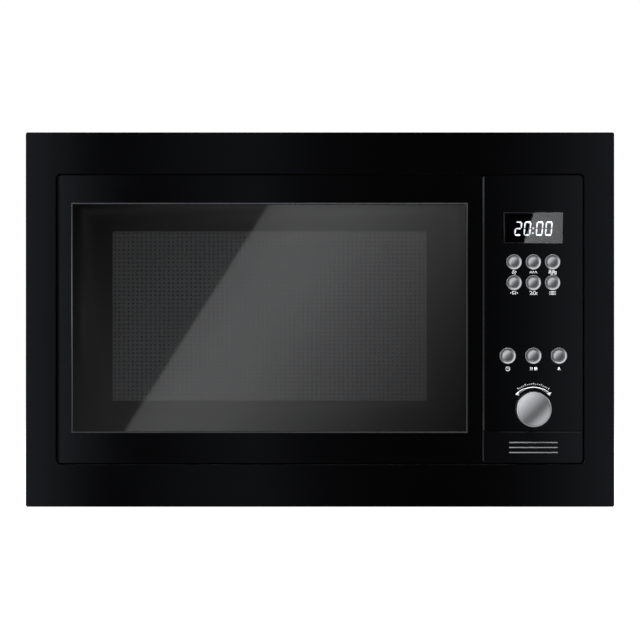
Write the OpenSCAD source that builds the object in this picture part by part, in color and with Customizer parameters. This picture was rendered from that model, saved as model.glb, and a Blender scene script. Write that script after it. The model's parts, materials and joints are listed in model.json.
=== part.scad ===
// Built-in combination microwave oven: trim frame, side-hinged door, control panel and works.
// X runs along the width, Y from the front to the back, Z up. The origin is under the middle
// of the oven, on the surface that its feet stand on.

/* [Overall] */
// Width of the door and the control panel together
front_w = 530; // [500:1:640]
// Height of the door and the control panel
front_h = 290; // [285:1:350]
// Depth from the front face to the outside of the rear panel
case_d = 425; // [410:1:520]
// Radius of the corners of the door and the control panel
front_corner = 3.5; // [3:0.5:6]

/* [Trim frame] */
// Width of the trim at each side of the front
trim_side = 30.3; // [26:0.1:50]
// Height of the trim above the front
trim_above = 41.95; // [20:0.05:60]
// Height of the trim below the front
trim_below = 42.65; // [38:0.05:60]
// Gap between the trim and the front that it surrounds
front_gap = 1.7; // [1.6:0.1:3]
// Gap between the trim and the surface that the feet stand on
trim_lift = 1; // [0.5:0.1:3]
// Depth of the trim frame
trim_d = 20; // [16:1:30]
// Width of the trim's rear hem, which lies against the cabinet
trim_hem = 12; // [8:1:14]
// Thickness of the trim's sheet
trim_t = 1.5; // [1:0.1:2]

/* [Door] */
// Width of the control panel
panel_w = 100.8; // [96:0.1:125]
// Gap between the door and the control panel
split_gap = 1.2; // [1:0.1:2]
// Thickness of the door frame's front and skirt
door_t = 2.5; // [2:0.1:3]
// Depth of the door frame's skirt
skirt_d = 20.5; // [18:0.5:20.5]
// Depth from the front face to the back of the door
door_d = 28; // [27:0.5:32]
// Border of the door to the left and to the right of the window
window_side = 13.8; // [12:0.1:20]
// Border of the door above the window
window_above = 27.4; // [24:0.1:40]
// Border of the door below the window
window_below = 30; // [26:0.1:40]
// Width of the sloping edge round the window
window_bevel = 2; // [1:0.1:2.4]
// Thickness of the front glass
glass_t = 3; // [2:0.1:3]
// Depth of the hinge axis behind the front face
hinge_in = 7; // [6.5:0.1:7]
// Distance of the hinge axis from the door's left edge
hinge_x = 14; // [13:0.1:16]
// Radius of the hinge pins
hinge_pin_r = 2; // [1.5:0.1:2.2]
// Width of the microwave choke round the door's inside
choke_w = 22; // [18:0.5:24]

/* [Cavity] */
// Distance from the door's side edges to the cavity's walls
cavity_side = 44; // [42:0.5:60]
// Height of the cavity's floor above the front's lower edge
cavity_below = 36.6; // [35:0.1:50]
// Distance from the front's upper edge down to the cavity's ceiling
cavity_above = 45.4; // [36:0.1:60]
// Depth of the cavity
cavity_d = 330; // [310:1:340]
// Thickness of the cavity's sheet
liner_t = 1.2; // [0.8:0.1:1.5]
// Diameter of the turntable tray
tray_dia = 300; // [240:1:310]
// Radius of the rollers under the tray
roller_r = 8.5; // [7:0.1:10]
// Radius of the circle that the rollers run on
roller_track_r = 99; // [80:1:110]

/* [Controls] */
// Height of the door release button
release_h = 31.5; // [28:0.1:33]
// How far the door release button can be pushed in
release_travel = 5; // [4:0.5:5]
// Radius of a small button's cap
cap_small_r = 5.2; // [4:0.1:5.4]
// Radius of a large button's cap
cap_large_r = 5.65; // [4:0.05:6]
// Width of the bright ring round a button, outside the gap
ring_w = 1.95; // [1.5:0.05:2.5]
// Gap between a button's cap and its ring
cap_gap = 0.6; // [0.3:0.1:1]
// How far a button can be pushed in
button_travel = 1; // [0.5:0.1:1.2]
// Distance between the columns of small buttons
small_pitch_x = 19.45; // [18:0.05:22]
// Distance between the rows of small buttons
small_pitch_z = 20.9; // [18:0.1:24]
// Distance between the columns of large buttons
large_pitch_x = 25.85; // [20:0.05:28]
// Width of the display window
display_w = 59.6; // [40:0.1:70]
// Height of the display window
display_h = 31.3; // [20:0.1:36]
// Radius of the knob
knob_r = 18; // [14:0.5:22]
// How far the knob stands out from the panel
knob_proud = 18; // [14:1:24]
// Radius of the knob's shaft
shaft_r = 3; // [2:0.1:3.5]

/* [Case] */
// Thickness of the front plate and the base plate
plate_t = 1.5; // [1:0.1:2]
// Depth of the lip round the trim's opening, which ends just in front of the front plate
trim_lip = 27; // [12:0.5:27.5]
// How far the front plate reaches past the front, so that no light shows through the trim's gap
plate_reach = 6; // [3:0.5:7]
// Thickness of the outer cover and the rear panel
cover_t = 1; // [0.8:0.1:1.2]
// Distance from the sides of the front to the sides of the case
case_side = 4; // [3:0.5:10]
// Width of a rail under the case
rail_w = 30; // [24:1:40]
// Radius of a foot
foot_r = 12; // [8:0.5:14]
// Height of a foot
foot_h = 6; // [4:0.5:10]
// Distance between the two screw holes of a mounting bracket
bracket_pitch = 140; // [100:1:160]
// Radius of the screw holes in the mounting brackets
bracket_hole_r = 2.25; // [1.5:0.05:3]
// Radius of the bore of the mains inlet gland
gland_r = 4; // [3:0.1:5]
// Radius of the case screws
screw_r = 1.9; // [1.4:0.1:2.5]

/* [Hidden] */
$fn = 48;
run_fit = 0.05;
rear_proud = 3;
rail_t = 1.2;

trim_open_w = front_w + 2 * front_gap;
trim_w = trim_open_w + 2 * trim_side;
trim_z1 = trim_lift + trim_below + front_h + 2 * front_gap + trim_above;

y_face = -(knob_proud + case_d + rear_proud) / 2 + knob_proud;
y_plate = y_face + door_d + 0.5;
y_case = y_plate + plate_t;
y_rear = y_face + case_d;
y_cavity = y_case + cavity_d;

front_x0 = -front_w / 2;
front_x1 = front_w / 2;
front_z0 = trim_lift + trim_below + front_gap;
front_z1 = front_z0 + front_h;
panel_x0 = front_x1 - panel_w;
door_x1 = panel_x0 - split_gap;
panel_x = (panel_x0 + front_x1) / 2 + 0.8;

window_lo = [front_x0 + window_side, front_z0 + window_below];
window_hi = [door_x1 - window_side, front_z1 - window_above];
bevel = [window_bevel, window_bevel];

hinge = [front_x0 + hinge_x, y_face + hinge_in];
arm_z0 = front_z0 + 5.4;
arm_z1 = front_z1 - 7.4;
arm_t = 2;
arm_r = 3.6;

choke_lo = [hinge.x + 2, front_z0 + 11.7];
choke_hi = [door_x1 - 13, front_z1 - 10.4];
choke = [choke_w, choke_w];
screen_y = y_face + 9;
sheet = 1.2;

cavity_lo = [front_x0 + cavity_side, front_z0 + cavity_below];
cavity_hi = [door_x1 - cavity_side, front_z1 - cavity_above];
cavity_x = (cavity_lo.x + cavity_hi.x) / 2;
cavity_z = (cavity_lo.y + cavity_hi.y) / 2;
liner = [liner_t, liner_t];
table_y = y_case + cavity_d / 2;

case_x1 = front_x1 - case_side;
case_z0 = front_z0 + 1;
case_z1 = front_z1 - 2;
works_x = (cavity_hi.x + case_x1) / 2;

// Where the latch and its lever sit, to the right of the choke
latch_x = door_x1 - 7.5;
latch_half = 2.5;
hook_zs = [front_z0 + 61, front_z1 - 74];
hook_y1 = y_plate + 23.5;
lever_x = panel_x0 + 10;
lever = [y_plate + 37.5, front_z0 + 45];
lever_arm = 22;
lever_rise = 28.5;
hook_h = 8;
hook_tip_h = 12;
catch_gap = 0.5;

display_z = front_z1 - 52.8;
small_z = front_z1 - 87.35;
large_z = front_z1 - 182.05;
knob_z = front_z1 - 235.95;
release_z1 = front_z0 + release_h;
panel_z0 = release_z1 + 1;
release_skirt = 9;
shelf_y = y_face + release_skirt + release_travel + 1.5;
board_y = y_face + 13;
board_t = 1.6;
button_wall = 3;

small_buttons = [for (row = [0, 1], col = [-1, 0, 1])
    [panel_x + col * small_pitch_x, small_z - row * small_pitch_z]];
large_buttons = [for (col = [-1, 0, 1]) [panel_x + col * large_pitch_x, large_z]];

fan_y = y_cavity + liner_t;
hot_housing_d = 30;
grill_in = 30;
grill_out = 100;
grill_y = y_cavity - 60;
hot_r = 84;
hot_w = 112;

tray_z = cavity_lo.y + 0.4 + 2 * roller_r;
axle_z = cavity_lo.y + 0.2 + roller_r;
axle_r = 2;

// Box between two opposite corners
module span(lo, hi) {
    translate(lo) cube(hi - lo);
}

// Flat rectangle between two opposite corners
module rect(lo, hi) {
    translate(lo) square(hi - lo);
}

// Flat rectangle between two opposite corners, with round corners
module round_rect(lo, hi, r) {
    rect([lo.x + r, lo.y], [hi.x - r, hi.y]);
    rect([lo.x, lo.y + r], [hi.x, hi.y - r]);
    for (x = [lo.x + r, hi.x - r], z = [lo.y + r, hi.y - r])
        translate([x, z]) circle(r);
}

// Upright plate from depth y0 to depth y1, of a shape drawn in X and Z
module plate(y0, y1) {
    translate([0, y1, 0]) rotate([90, 0, 0]) linear_extrude(y1 - y0) children();
}

// Upright frame: what lies between two rectangles
module ring_plate(y0, y1, lo, hi, width, r = 0.5) {
    plate(y0, y1) difference() {
        round_rect(lo, hi, r);
        rect(lo + width, hi - width);
    }
}

module rod_x(x0, x1, y, z, r) {
    translate([x0, y, z]) rotate([0, 90, 0]) cylinder(h = x1 - x0, r = r);
}

module rod_y(x, z, y0, y1, r) {
    translate([x, y1, z]) rotate([90, 0, 0]) cylinder(h = y1 - y0, r = r);
}

module rod_z(x, y, z0, z1, r) {
    translate([x, y, z0]) cylinder(h = z1 - z0, r = r);
}

// Both sides of the oven, mirrored about its middle plane
module both_sides() {
    children();
    mirror([1, 0, 0]) children();
}

// ---- Case ----

module trim_frame() {
    lo = [-trim_w / 2, trim_lift];
    hi = [trim_w / 2, trim_z1];
    open_lo = [front_x0 - front_gap, front_z0 - front_gap];
    open_hi = [front_x1 + front_gap, front_z1 + front_gap];
    open_r = front_corner + front_gap;
    t = [trim_t, trim_t];
    color("#1b1b1e") {
        plate(y_face, y_face + trim_t) difference() {
            round_rect(lo, hi, 2);
            round_rect(open_lo, open_hi, open_r);
        }
        ring_plate(y_face + trim_t, y_face + trim_d, lo, hi, t, 2);
        ring_plate(y_face + trim_d - trim_t, y_face + trim_d, lo, hi, [trim_hem, trim_hem], 2);
        plate(y_face + trim_t, y_face + trim_lip) difference() {
            round_rect(open_lo - t, open_hi + t, open_r + trim_t);
            round_rect(open_lo, open_hi, open_r);
        }
    }
}

module mounting_brackets() {
    niche_x = trim_w / 2 - trim_side / 2 - 3;
    lip_x = trim_open_w / 2 + trim_t;
    z0 = cavity_z - bracket_pitch / 2 - 20;
    z1 = cavity_z + bracket_pitch / 2 + 20;
    hole_y = y_case + 15;
    color("#b9bcc0") both_sides() difference() {
        union() {
            span([niche_x - 1.5, y_face + trim_t, z0], [niche_x, hole_y + 16, z1]);
            span([lip_x + 0.5, y_face + trim_t, z0], [niche_x, y_face + trim_t + 1.5, z1]);
            span([case_x1 + 0.5, y_case, z0], [niche_x, y_case + 1.5, z1]);
        }
        for (side = [-1, 1])
            rod_x(niche_x - 5, niche_x + 5, hole_y, cavity_z + side * bracket_pitch / 2,
                bracket_hole_r);
    }
}

module front_plate() {
    color("#8f9296") difference() {
        plate(y_plate, y_case)
            rect([front_x0 - plate_reach, front_z0 - plate_reach],
                [front_x1 + plate_reach, front_z1 + plate_reach]);
        plate(y_plate - 1, y_case + 1) rect(cavity_lo, cavity_hi);
        for (z = hook_zs)
            span([latch_x - 5, y_plate - 1, z - 6], [latch_x + 7, y_case + 1, z + 14]);
        rod_y(lever_x, lever[1] - lever_arm, y_plate - 1, y_case + 1, 3.6);
        rod_y(panel_x, front_z1 - 25, y_plate - 1, y_case + 1, 8);
    }
}

module cavity_liner() {
    back = y_cavity + liner_t;
    color("#a9adb1") difference() {
        union() {
            plate(y_case, back) round_rect(cavity_lo - liner, cavity_hi + liner, 4);
            plate(y_case, y_case + liner_t)
                rect([cavity_lo.x - 8, cavity_lo.y - 8], [cavity_hi.x + 8, cavity_hi.y + 8]);
        }
        plate(y_case - 1, y_cavity) rect(cavity_lo, cavity_hi);
        // Opening for the turntable's coupler
        rod_z(cavity_x, table_y, cavity_lo.y - 5, cavity_lo.y + 5, 8);
        // Port of the waveguide
        span([cavity_hi.x - 1, table_y - 45, cavity_z - 25],
            [cavity_hi.x + 5, table_y + 45, cavity_z + 25]);
        // Inlet holes in front of the hot air fan
        for (turn = [1:4], step = [0:6 * turn - 1])
            rotate_about_fan(step * 60 / turn) rod_y(8.5 * turn, 0, y_cavity - 1, back + 1, 2.5);
        // Outlet slots round the ring heater
        for (step = [0:11])
            rotate_about_fan(step * 30) span([hot_r - 14, y_cavity - 1, -9], [hot_r - 8, back + 1, 9]);
        // Holes that let the lamp shine in
        for (a = [-2:2], b = [-1:1])
            rod_x(cavity_hi.x - 1, cavity_hi.x + 5, table_y + 105 + 7 * a, cavity_hi.y - 30 + 7 * b, 2);
        // Holes for the ends of the grill element
        for (side = [-1, 1])
            rod_z(cavity_x + side * grill_out, grill_y, cavity_hi.y - 5, cavity_hi.y + 5, 4);
    }
}

// Turns a shape about the middle of the hot air fan
module rotate_about_fan(angle) {
    translate([cavity_x, 0, cavity_z]) rotate([0, angle, 0]) children();
}

module outer_cover() {
    inner_x = case_x1 - cover_t;
    inner_z = case_z1 - cover_t;
    floor_z = case_z0 + plate_t;
    color("#9ea2a6") difference() {
        span([-case_x1, y_case, floor_z], [case_x1, y_rear - cover_t, case_z1]);
        span([-inner_x, y_case - 1, floor_z - 1], [inner_x, y_rear - 2 * cover_t, inner_z]);
        span([-inner_x + 12, y_case - 1, floor_z - 1], [inner_x - 12, y_rear, inner_z - 12]);
        // Air slots in the right side, beside the magnetron
        for (row = [0:2], step = [0:8])
            span([inner_x - 5, y_case + 60 + 14 * step, case_z1 - 100 - 44 * row],
                [case_x1 + 5, y_case + 65 + 14 * step, case_z1 - 68 - 44 * row]);
        // Air slots in the left side, beside the cavity
        for (step = [0:11])
            span([-case_x1 - 5, y_rear - 220 + 14 * step, case_z1 - 60],
                [5 - inner_x, y_rear - 215 + 14 * step, case_z1 - 28]);
        // Air slots in the top, over the works
        for (step = [0:8])
            span([works_x - 40, y_rear - 150 + 12 * step, inner_z - 5],
                [works_x + 40, y_rear - 145 + 12 * step, case_z1 + 5]);
        for (spot = cover_screws())
            rod_y(spot.x, spot.y, y_rear - 10, y_rear + 1, screw_r);
    }
}

function cover_screws() = [
    for (x = [-1, 1], z = [30, (case_z1 - case_z0) / 2, case_z1 - case_z0 - 30])
        [x * (case_x1 - 7), case_z0 + z],
    for (x = [-1, 1]) [x * 130, case_z1 - 7]];

module rear_panel() {
    color("#9ea2a6") difference() {
        span([-case_x1, y_rear - cover_t, case_z0 + plate_t], [case_x1, y_rear, case_z1]);
        for (spot = cover_screws())
            rod_y(spot.x, spot.y, y_rear - 5, y_rear + 1, screw_r + 0.2);
        rod_y(works_x, case_z0 + 30, y_rear - 5, y_rear + 1, gland_r + 3);
        // Exhaust slots behind the cooling fan and behind the hot air motor
        for (x = [works_x, cavity_x], step = [-5:5])
            span([x - 40, y_rear - 5, cavity_z + 9 * step - 2],
                [x + 40, y_rear + 1, cavity_z + 9 * step + 2]);
    }
}

module base_plate() {
    color("#8f9296") difference() {
        union() {
            span([-case_x1, y_case, case_z0], [case_x1, y_rear, case_z0 + plate_t]);
            both_sides() difference() {
                span([case_x1 - 50, y_case + 20, foot_h], [case_x1 - 50 + rail_w, y_rear - 15, case_z0]);
                span([case_x1 - 50 + rail_t, y_case + 10, foot_h + rail_t],
                    [case_x1 - 50 + rail_w - rail_t, y_rear, case_z0]);
            }
        }
        for (spot = foot_spots())
            rod_z(spot.x, spot.y, foot_h - 1, foot_h + 2 * rail_t, 3);
        // Air slots under the transformer and under the turntable motor
        for (step = [0:9])
            span([works_x - 35, y_case + 60 + 12 * step, case_z0 - 1],
                [works_x + 5, y_case + 65 + 12 * step, case_z0 + plate_t + 1]);
        rod_z(cavity_x, table_y, case_z0 - 1, case_z0 + plate_t + 1, 30);
    }
}

function foot_spots() = [for (x = [-1, 1], y = [y_case + 45, y_rear - 40])
    [x * (case_x1 - 50 + rail_w / 2), y]];

module rubber_feet() {
    color("#202020") for (spot = foot_spots())
        translate(spot) rotate_extrude() polygon([
            [0, 0], [foot_r - 2, 0], [foot_r, foot_h], [3, foot_h], [3, foot_h + rail_t],
            [4.2, foot_h + rail_t], [2.5, foot_h + 5], [0, foot_h + 5]]);
}

module cord_gland() {
    color("#202020") translate([works_x, y_rear, case_z0 + 30]) rotate([90, 0, 0]) difference() {
        union() {
            translate([0, 0, -rear_proud]) cylinder(h = rear_proud, r = gland_r + 6);
            cylinder(h = 9, r = gland_r + 3);
        }
        translate([0, 0, -rear_proud - 1]) cylinder(h = 20, r = gland_r);
    }
}

module case_screws() {
    color("#c9ccd0") for (spot = cover_screws())
        translate([spot.x, y_rear, spot.y]) rotate([90, 0, 0]) union() {
            translate([0, 0, -2]) cylinder(h = 2, r = 2 * screw_r);
            cylinder(h = 8, r = screw_r);
        }
}

module hinge_brackets() {
    color("#b9bcc0") for (z = [arm_z0, arm_z1]) difference() {
        union() {
            span([hinge.x - arm_r, hinge.y, z], [hinge.x + arm_r, y_plate, z + arm_t]);
            rod_z(hinge.x, hinge.y, z, z + arm_t, arm_r);
            foot_z = z == arm_z0 ? z - 4 : z - 1.5;
            span([hinge.x - arm_r - 8, y_plate - 1.2, foot_z], [hinge.x + arm_r, y_plate, foot_z + 9]);
        }
        rod_z(hinge.x, hinge.y, z - 1, z + arm_t + 1, hinge_pin_r + run_fit);
    }
}

// ---- Works beside the cavity ----

module waveguide() {
    x0 = cavity_hi.x + liner_t;
    color("#b4b7ba") difference() {
        span([x0, table_y - 50, cavity_z - 32], [x0 + 40, table_y + 50, cavity_z + 70]);
        span([x0 - 1, table_y - 48.5, cavity_z - 30.5], [x0 + 38.5, table_y + 48.5, cavity_z + 68.5]);
        rod_x(x0 + 30, x0 + 45, table_y, cavity_z + 45, 12);
    }
}

module waveguide_cover() {
    color("#cbb894") span([cavity_hi.x - 0.8, table_y - 55, cavity_z - 32],
        [cavity_hi.x, table_y + 55, cavity_z + 32]);
}

module magnetron() {
    x0 = cavity_hi.x + liner_t + 40;
    z = cavity_z + 45;
    color("#a2a5a8") {
        rod_x(x0 - 22, x0, table_y, z, 9);
        difference() {
            span([x0, table_y - 42, z - 38], [x0 + 60, table_y + 42, z + 38]);
            span([x0 + 3, table_y - 50, z - 35], [x0 + 57, table_y + 50, z + 35]);
        }
        rod_x(x0 + 3, x0 + 57, table_y, z, 20);
        for (step = [0:6])
            span([x0 + 12 + 5.5 * step, table_y - 40, z - 35],
                [x0 + 12.8 + 5.5 * step, table_y + 40, z + 35]);
        span([x0 + 60, table_y - 22, z - 16], [x0 + 72, table_y + 22, z + 16]);
    }
}

module transformer() {
    z0 = case_z0 + plate_t;
    y0 = y_case + 55;
    color("#5c4d42") {
        difference() {
            span([works_x - 30, y0, z0], [works_x + 45, y0 + 95, z0 + 70]);
            for (side = [0, 1])
                span([works_x - 35, y0 + 16 + 39 * side, z0 + 16],
                    [works_x + 50, y0 + 40 + 39 * side, z0 + 54]);
        }
        difference() {
            span([works_x - 42, y0 + 18, z0 + 4], [works_x + 57, y0 + 77, z0 + 66]);
            span([works_x - 30, y0 + 10, z0 - 1], [works_x + 45, y0 + 90, z0 + 71]);
        }
    }
}

module hv_capacitor() {
    z0 = case_z0 + plate_t;
    y0 = y_case + 175;
    color("#c4c7ca") {
        translate([works_x, y0 + 18, z0]) linear_extrude(84) round_rect([-27, -17], [27, 17], 16);
        for (side = [-1, 1])
            rod_z(works_x + side * 14, y0 + 18, z0 + 84, z0 + 94, 3);
    }
}

module fan_shroud() {
    y = y_rear - 100;
    color("#3c3f42") difference() {
        span([works_x - 58, y, cavity_z - 58], [works_x + 58, y + 24, cavity_z + 58]);
        rod_y(works_x, cavity_z, y - 1, y + 22, 54);
        rod_y(works_x, cavity_z, y + 20, y + 25, 12);
        for (step = [0:7])
            translate([works_x, 0, cavity_z]) rotate([0, 45 * step + 22.5, 0])
                span([18, y + 20, -8], [46, y + 25, 8]);
    }
}

module fan_motor() {
    y = y_rear - 76;
    color("#77695c") {
        span([works_x - 28, y + 4, cavity_z - 24], [works_x + 28, y + 24, cavity_z + 24]);
        rod_y(works_x, cavity_z, y + 0.3, y + 34, 11);
        both_sides_of(works_x) span([works_x + 20, y, cavity_z - 5], [works_x + 28, y + 4, cavity_z + 5]);
    }
}

// A shape and its mirror image about the plane at x
module both_sides_of(x) {
    children();
    translate([2 * x, 0, 0]) mirror([1, 0, 0]) children();
}

module hot_air_housing() {
    y1 = fan_y + hot_housing_d;
    lo = [cavity_x - hot_w, cavity_z - hot_w + 12];
    hi = [cavity_x + hot_w, cavity_z + hot_w - 12];
    color("#a9adb1") difference() {
        union() {
            plate(fan_y, y1) round_rect(lo, hi, 20);
            plate(fan_y, fan_y + 1.2) rect(lo + [-4, 0], hi + [4, 0]);
        }
        plate(fan_y - 1, y1 - 1.2) round_rect(lo + [1.2, 1.2], hi - [1.2, 1.2], 18.8);
        rod_y(cavity_x, cavity_z, y1 - 5, y1 + 5, 5);
        for (side = [-1, 1])
            rod_y(cavity_x + side * 12, cavity_z + hot_r + 4, y1 - 5, y1 + 5, 4);
    }
}

module ring_heater() {
    y = fan_y + 15;
    color("#6b6763") translate([cavity_x, y, cavity_z]) rotate([90, 0, 0]) {
        rotate([0, 0, 98]) rotate_extrude(angle = 344) translate([hot_r, 0]) circle(3.3);
        for (side = [-1, 1])
            translate([side * 12, hot_r + 4, 0]) mirror([0, 0, 1]) cylinder(h = 22, r = 3.3);
        for (side = [-1, 1])
            translate([side * 12, hot_r - 1, 0]) sphere(4.6);
    }
}

module hot_air_motor() {
    y = fan_y + hot_housing_d;
    color("#77695c") {
        rod_y(cavity_x, cavity_z, y + 0.5, y_rear - 4, 13);
        span([cavity_x - 30, y + 5, cavity_z - 24], [cavity_x + 30, y_rear - 6, cavity_z + 24]);
        both_sides_of(cavity_x)
            span([cavity_x + 22, y, cavity_z - 6], [cavity_x + 30, y + 5, cavity_z + 6]);
    }
}

module grill_element() {
    z = cavity_hi.y - 12;
    r = 3.3;
    y1 = grill_y;
    y0 = y_case + 75;
    color("#4a4745") {
        for (side = [-1, 1]) {
            rod_z(cavity_x + side * grill_out, y1, z, cavity_hi.y + 16, r);
            translate([cavity_x + side * grill_out, y1, z]) sphere(r);
            rod_y(cavity_x + side * grill_out, z, y0, y1, r);
            translate([cavity_x + side * (grill_in + grill_out) / 2, y0, z]) rotate([0, 0, 180])
                half_turn((grill_out - grill_in) / 2, r);
            rod_y(cavity_x + side * grill_in, z, y0, y1, r);
        }
        translate([cavity_x, y1, z]) half_turn(grill_in, r);
    }
}

// Half a ring of round rod, on the +Y side
module half_turn(ring_r, r) {
    rotate_extrude(angle = 180) translate([ring_r, 0]) circle(r);
}

module turntable_motor() {
    z1 = cavity_lo.y - liner_t;
    color("#b4b7ba") {
        rod_z(cavity_x, table_y, z1 - 18, z1 - 2, 25);
        span([cavity_x - 34, table_y - 5, z1 - 3], [cavity_x + 34, table_y + 5, z1]);
    }
}

module cavity_lamp() {
    x0 = cavity_hi.x + liner_t;
    y = table_y + 105;
    z = cavity_hi.y - 30;
    color("#d8d2c0") {
        difference() {
            span([x0, y - 20, z - 13], [x0 + 28, y + 20, z + 13]);
            span([x0 - 1, y - 18.5, z - 11.5], [x0 + 26, y + 18.5, z + 11.5]);
        }
        rod_x(x0 + 10, x0 + 26, y, z, 6);
        translate([x0 + 10, y, z]) sphere(6);
    }
}

// ---- Door lock ----

module interlock_bracket() {
    x0 = latch_x - 11;
    color("#d9d9d4") {
        difference() {
            union() {
                span([x0, y_case, front_z0 + 38], [x0 + 3, y_case + 50, front_z1 - 45]);
                span([x0 - 10, y_case, front_z0 + 38], [x0, y_case + 2, front_z1 - 45]);
            }
            span([x0 - 1, y_case + 8, front_z0 + 90], [x0 + 4, y_case + 42, front_z1 - 100]);
        }
        // Ledges that the hooks catch behind
        for (z = hook_zs)
            span([x0 + 3, y_plate + 5, z + hook_h + catch_gap],
                [latch_x + latch_half + 2, y_plate + 11, z + hook_tip_h + 3]);
        // Pin that the release lever turns on
        rod_x(x0 + 3, lever_x + 3, lever[0], lever[1], axle_r);
    }
}

module interlock_switches() {
    color("#2a2a2c") {
        for (z = [hook_zs[1] - 4, hook_zs[1] + 16])
            span([latch_x - 8, hook_y1 + 1, z], [latch_x + 4, hook_y1 + 21, z + 10]);
        span([latch_x + 5, y_case + 8, hook_zs[0] - 4], [latch_x + 11, y_case + 26, hook_zs[0] + 6]);
    }
}

module release_lever() {
    x0 = latch_x - 6;
    y = lever[0];
    z = lever[1];
    finger_z = z + lever_rise;
    color("#d9d9d4") difference() {
        union() {
            rod_x(x0, lever_x + 2, y, z, 5);
            span([lever_x - 4, y - 2, z - lever_arm - 5], [lever_x + 2, y + 2, z]);
            span([x0, y - 2, z], [latch_x + latch_half, y + 2, finger_z + 4]);
            span([latch_x - latch_half, y - 17, finger_z], [latch_x + latch_half, y, finger_z + 4]);
        }
        rod_x(x0 - 5, lever_x + 9, y, z, axle_r + run_fit);
    }
}

// ---- Controls ----

module control_panel() {
    lo = [panel_x0, front_z0];
    hi = [front_x1, front_z1];
    t = [door_t, door_t];
    color("#1b1b1e") difference() {
        union() {
            // Front wall
            plate(y_face, y_face + button_wall) intersection() {
                round_rect(lo, hi, front_corner);
                rect([lo.x, panel_z0], hi);
            }
            // Skirt round the upper part, and a shorter one behind the release button
            plate(y_face + button_wall, y_plate) difference() {
                intersection() {
                    round_rect(lo, hi, front_corner);
                    rect([lo.x, panel_z0], hi);
                }
                rect([lo.x + door_t, panel_z0 + 2], hi - t);
            }
            plate(shelf_y, y_plate) difference() {
                intersection() {
                    round_rect(lo, hi, front_corner);
                    rect(lo, [hi.x, panel_z0]);
                }
                rect(lo + t, [hi.x - door_t, panel_z0]);
            }
            // Shelf that guides the release button
            plate(shelf_y, shelf_y + 2) rect(lo + [1, 1], [hi.x - 1, panel_z0 + 1]);
        }
        for (spot = small_buttons)
            rod_y(spot.x, spot.y, y_face - 1, y_face + 5, cap_small_r + cap_gap + 0.8);
        for (spot = large_buttons)
            rod_y(spot.x, spot.y, y_face - 1, y_face + 5, cap_large_r + cap_gap + 0.8);
        rod_y(panel_x, knob_z, y_face - 1, y_face + 5, shaft_r + 0.6);
        plate(y_face - 1, y_face + 5)
            rect([panel_x - display_w / 2 - 0.2, display_z - display_h / 2 - 0.2],
                [panel_x + display_w / 2 + 0.2, display_z + display_h / 2 + 0.2]);
        rod_y(lever_x, lever[1] - lever_arm, shelf_y - 1, shelf_y + 3, 3 + run_fit);
        rod_y(front_x1 - 15, front_z0 + 15, shelf_y - 1, shelf_y + 3, 3 + run_fit);
    }
}

module display_window() {
    half = [display_w / 2, display_h / 2];
    at = [panel_x, display_z];
    color("#0c0d10") {
        plate(y_face + 0.3, y_face + button_wall) round_rect(at - half, at + half, 1);
        plate(y_face + button_wall, y_face + button_wall + 1)
            rect(at - half - [2, 2], at + half + [2, 2]);
    }
}

module display_module() {
    half = [display_w / 2 + 4, display_h / 2 + 4];
    at = [panel_x, display_z];
    color("#2c2f33") plate(y_face + button_wall + 1.2, board_y) rect(at - half, at + half);
}

module control_board() {
    color("#2e6b3c") {
        difference() {
            union() {
                plate(board_y, board_y + board_t)
                    rect([panel_x0 + 6, panel_z0 + 8], [front_x1 - 6, front_z1 - 8]);
                // Encoder body that the knob's shaft turns in
                span([panel_x - 6, y_face + 6, knob_z - 6], [panel_x + 6, board_y, knob_z + 6]);
            }
            rod_y(panel_x, knob_z, y_face, y_face + 12.5, shaft_r + run_fit);
        }
        // Tact switch behind each button
        for (spot = concat(small_buttons, large_buttons))
            span([spot.x - 3, board_y - 3, spot.y - 3], [spot.x + 3, board_y, spot.y + 3]);
        // Relay and power supply on the back
        span([panel_x - 30, board_y + board_t, large_z + 12], [panel_x - 10, board_y + 13, large_z + 27]);
        span([panel_x + 2, board_y + board_t, large_z + 8], [panel_x + 32, board_y + 13, large_z + 36]);
    }
}

// Bright ring that is pressed into the panel round a button
module button_ring(cap_r) {
    inner = cap_r + cap_gap;
    rotate([90, 0, 0]) rotate_extrude() {
        rect([inner, -button_wall], [inner + 0.8, 0.2]);
        intersection() {
            translate([inner + ring_w / 2, 0]) circle(ring_w / 2);
            rect([inner, 0], [inner + ring_w, ring_w]);
        }
    }
}

module button_rings() {
    color("silver") {
        for (spot = small_buttons)
            translate([spot.x, y_face, spot.y]) button_ring(cap_small_r);
        for (spot = large_buttons)
            translate([spot.x, y_face, spot.y]) button_ring(cap_large_r);
    }
}

// Button with a domed cap, a collar behind the panel and a stem that ends at its switch
module button(spot, cap_r) {
    crown_r = 3.4 * cap_r;
    color("silver") translate([spot.x, y_face, spot.y]) rotate([90, 0, 0]) {
        intersection() {
            translate([0, 0, -5]) cylinder(h = 10, r = cap_r);
            translate([0, 0, 1.6 - crown_r]) sphere(crown_r, $fn = 96);
        }
        translate([0, 0, -5]) cylinder(h = 5, r = cap_r);
        translate([0, 0, -button_wall - 1.6]) cylinder(h = 1.2, r = cap_r + 1.2);
        translate([0, 0, -(13 - 3 - button_travel - 0.2)]) cylinder(h = 6, r = 2);
    }
}

module knob() {
    color("#c8c8c8") translate([panel_x, y_face, knob_z]) rotate([90, 0, 0]) rotate_extrude()
        polygon([
            [shaft_r, 1.5], [knob_r / 3, 1.5], [knob_r / 3, knob_proud - 6], [knob_r - 3, knob_proud - 6],
            [knob_r - 3, 0.6], [knob_r - 0.4, 0.6], [knob_r, 2], [knob_r, knob_proud - 1.2],
            [knob_r - 1.2, knob_proud], [knob_r - 2.4, knob_proud - 0.4], [0, knob_proud - 0.4],
            [0, knob_proud - 5], [shaft_r, knob_proud - 5]]);
}

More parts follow.
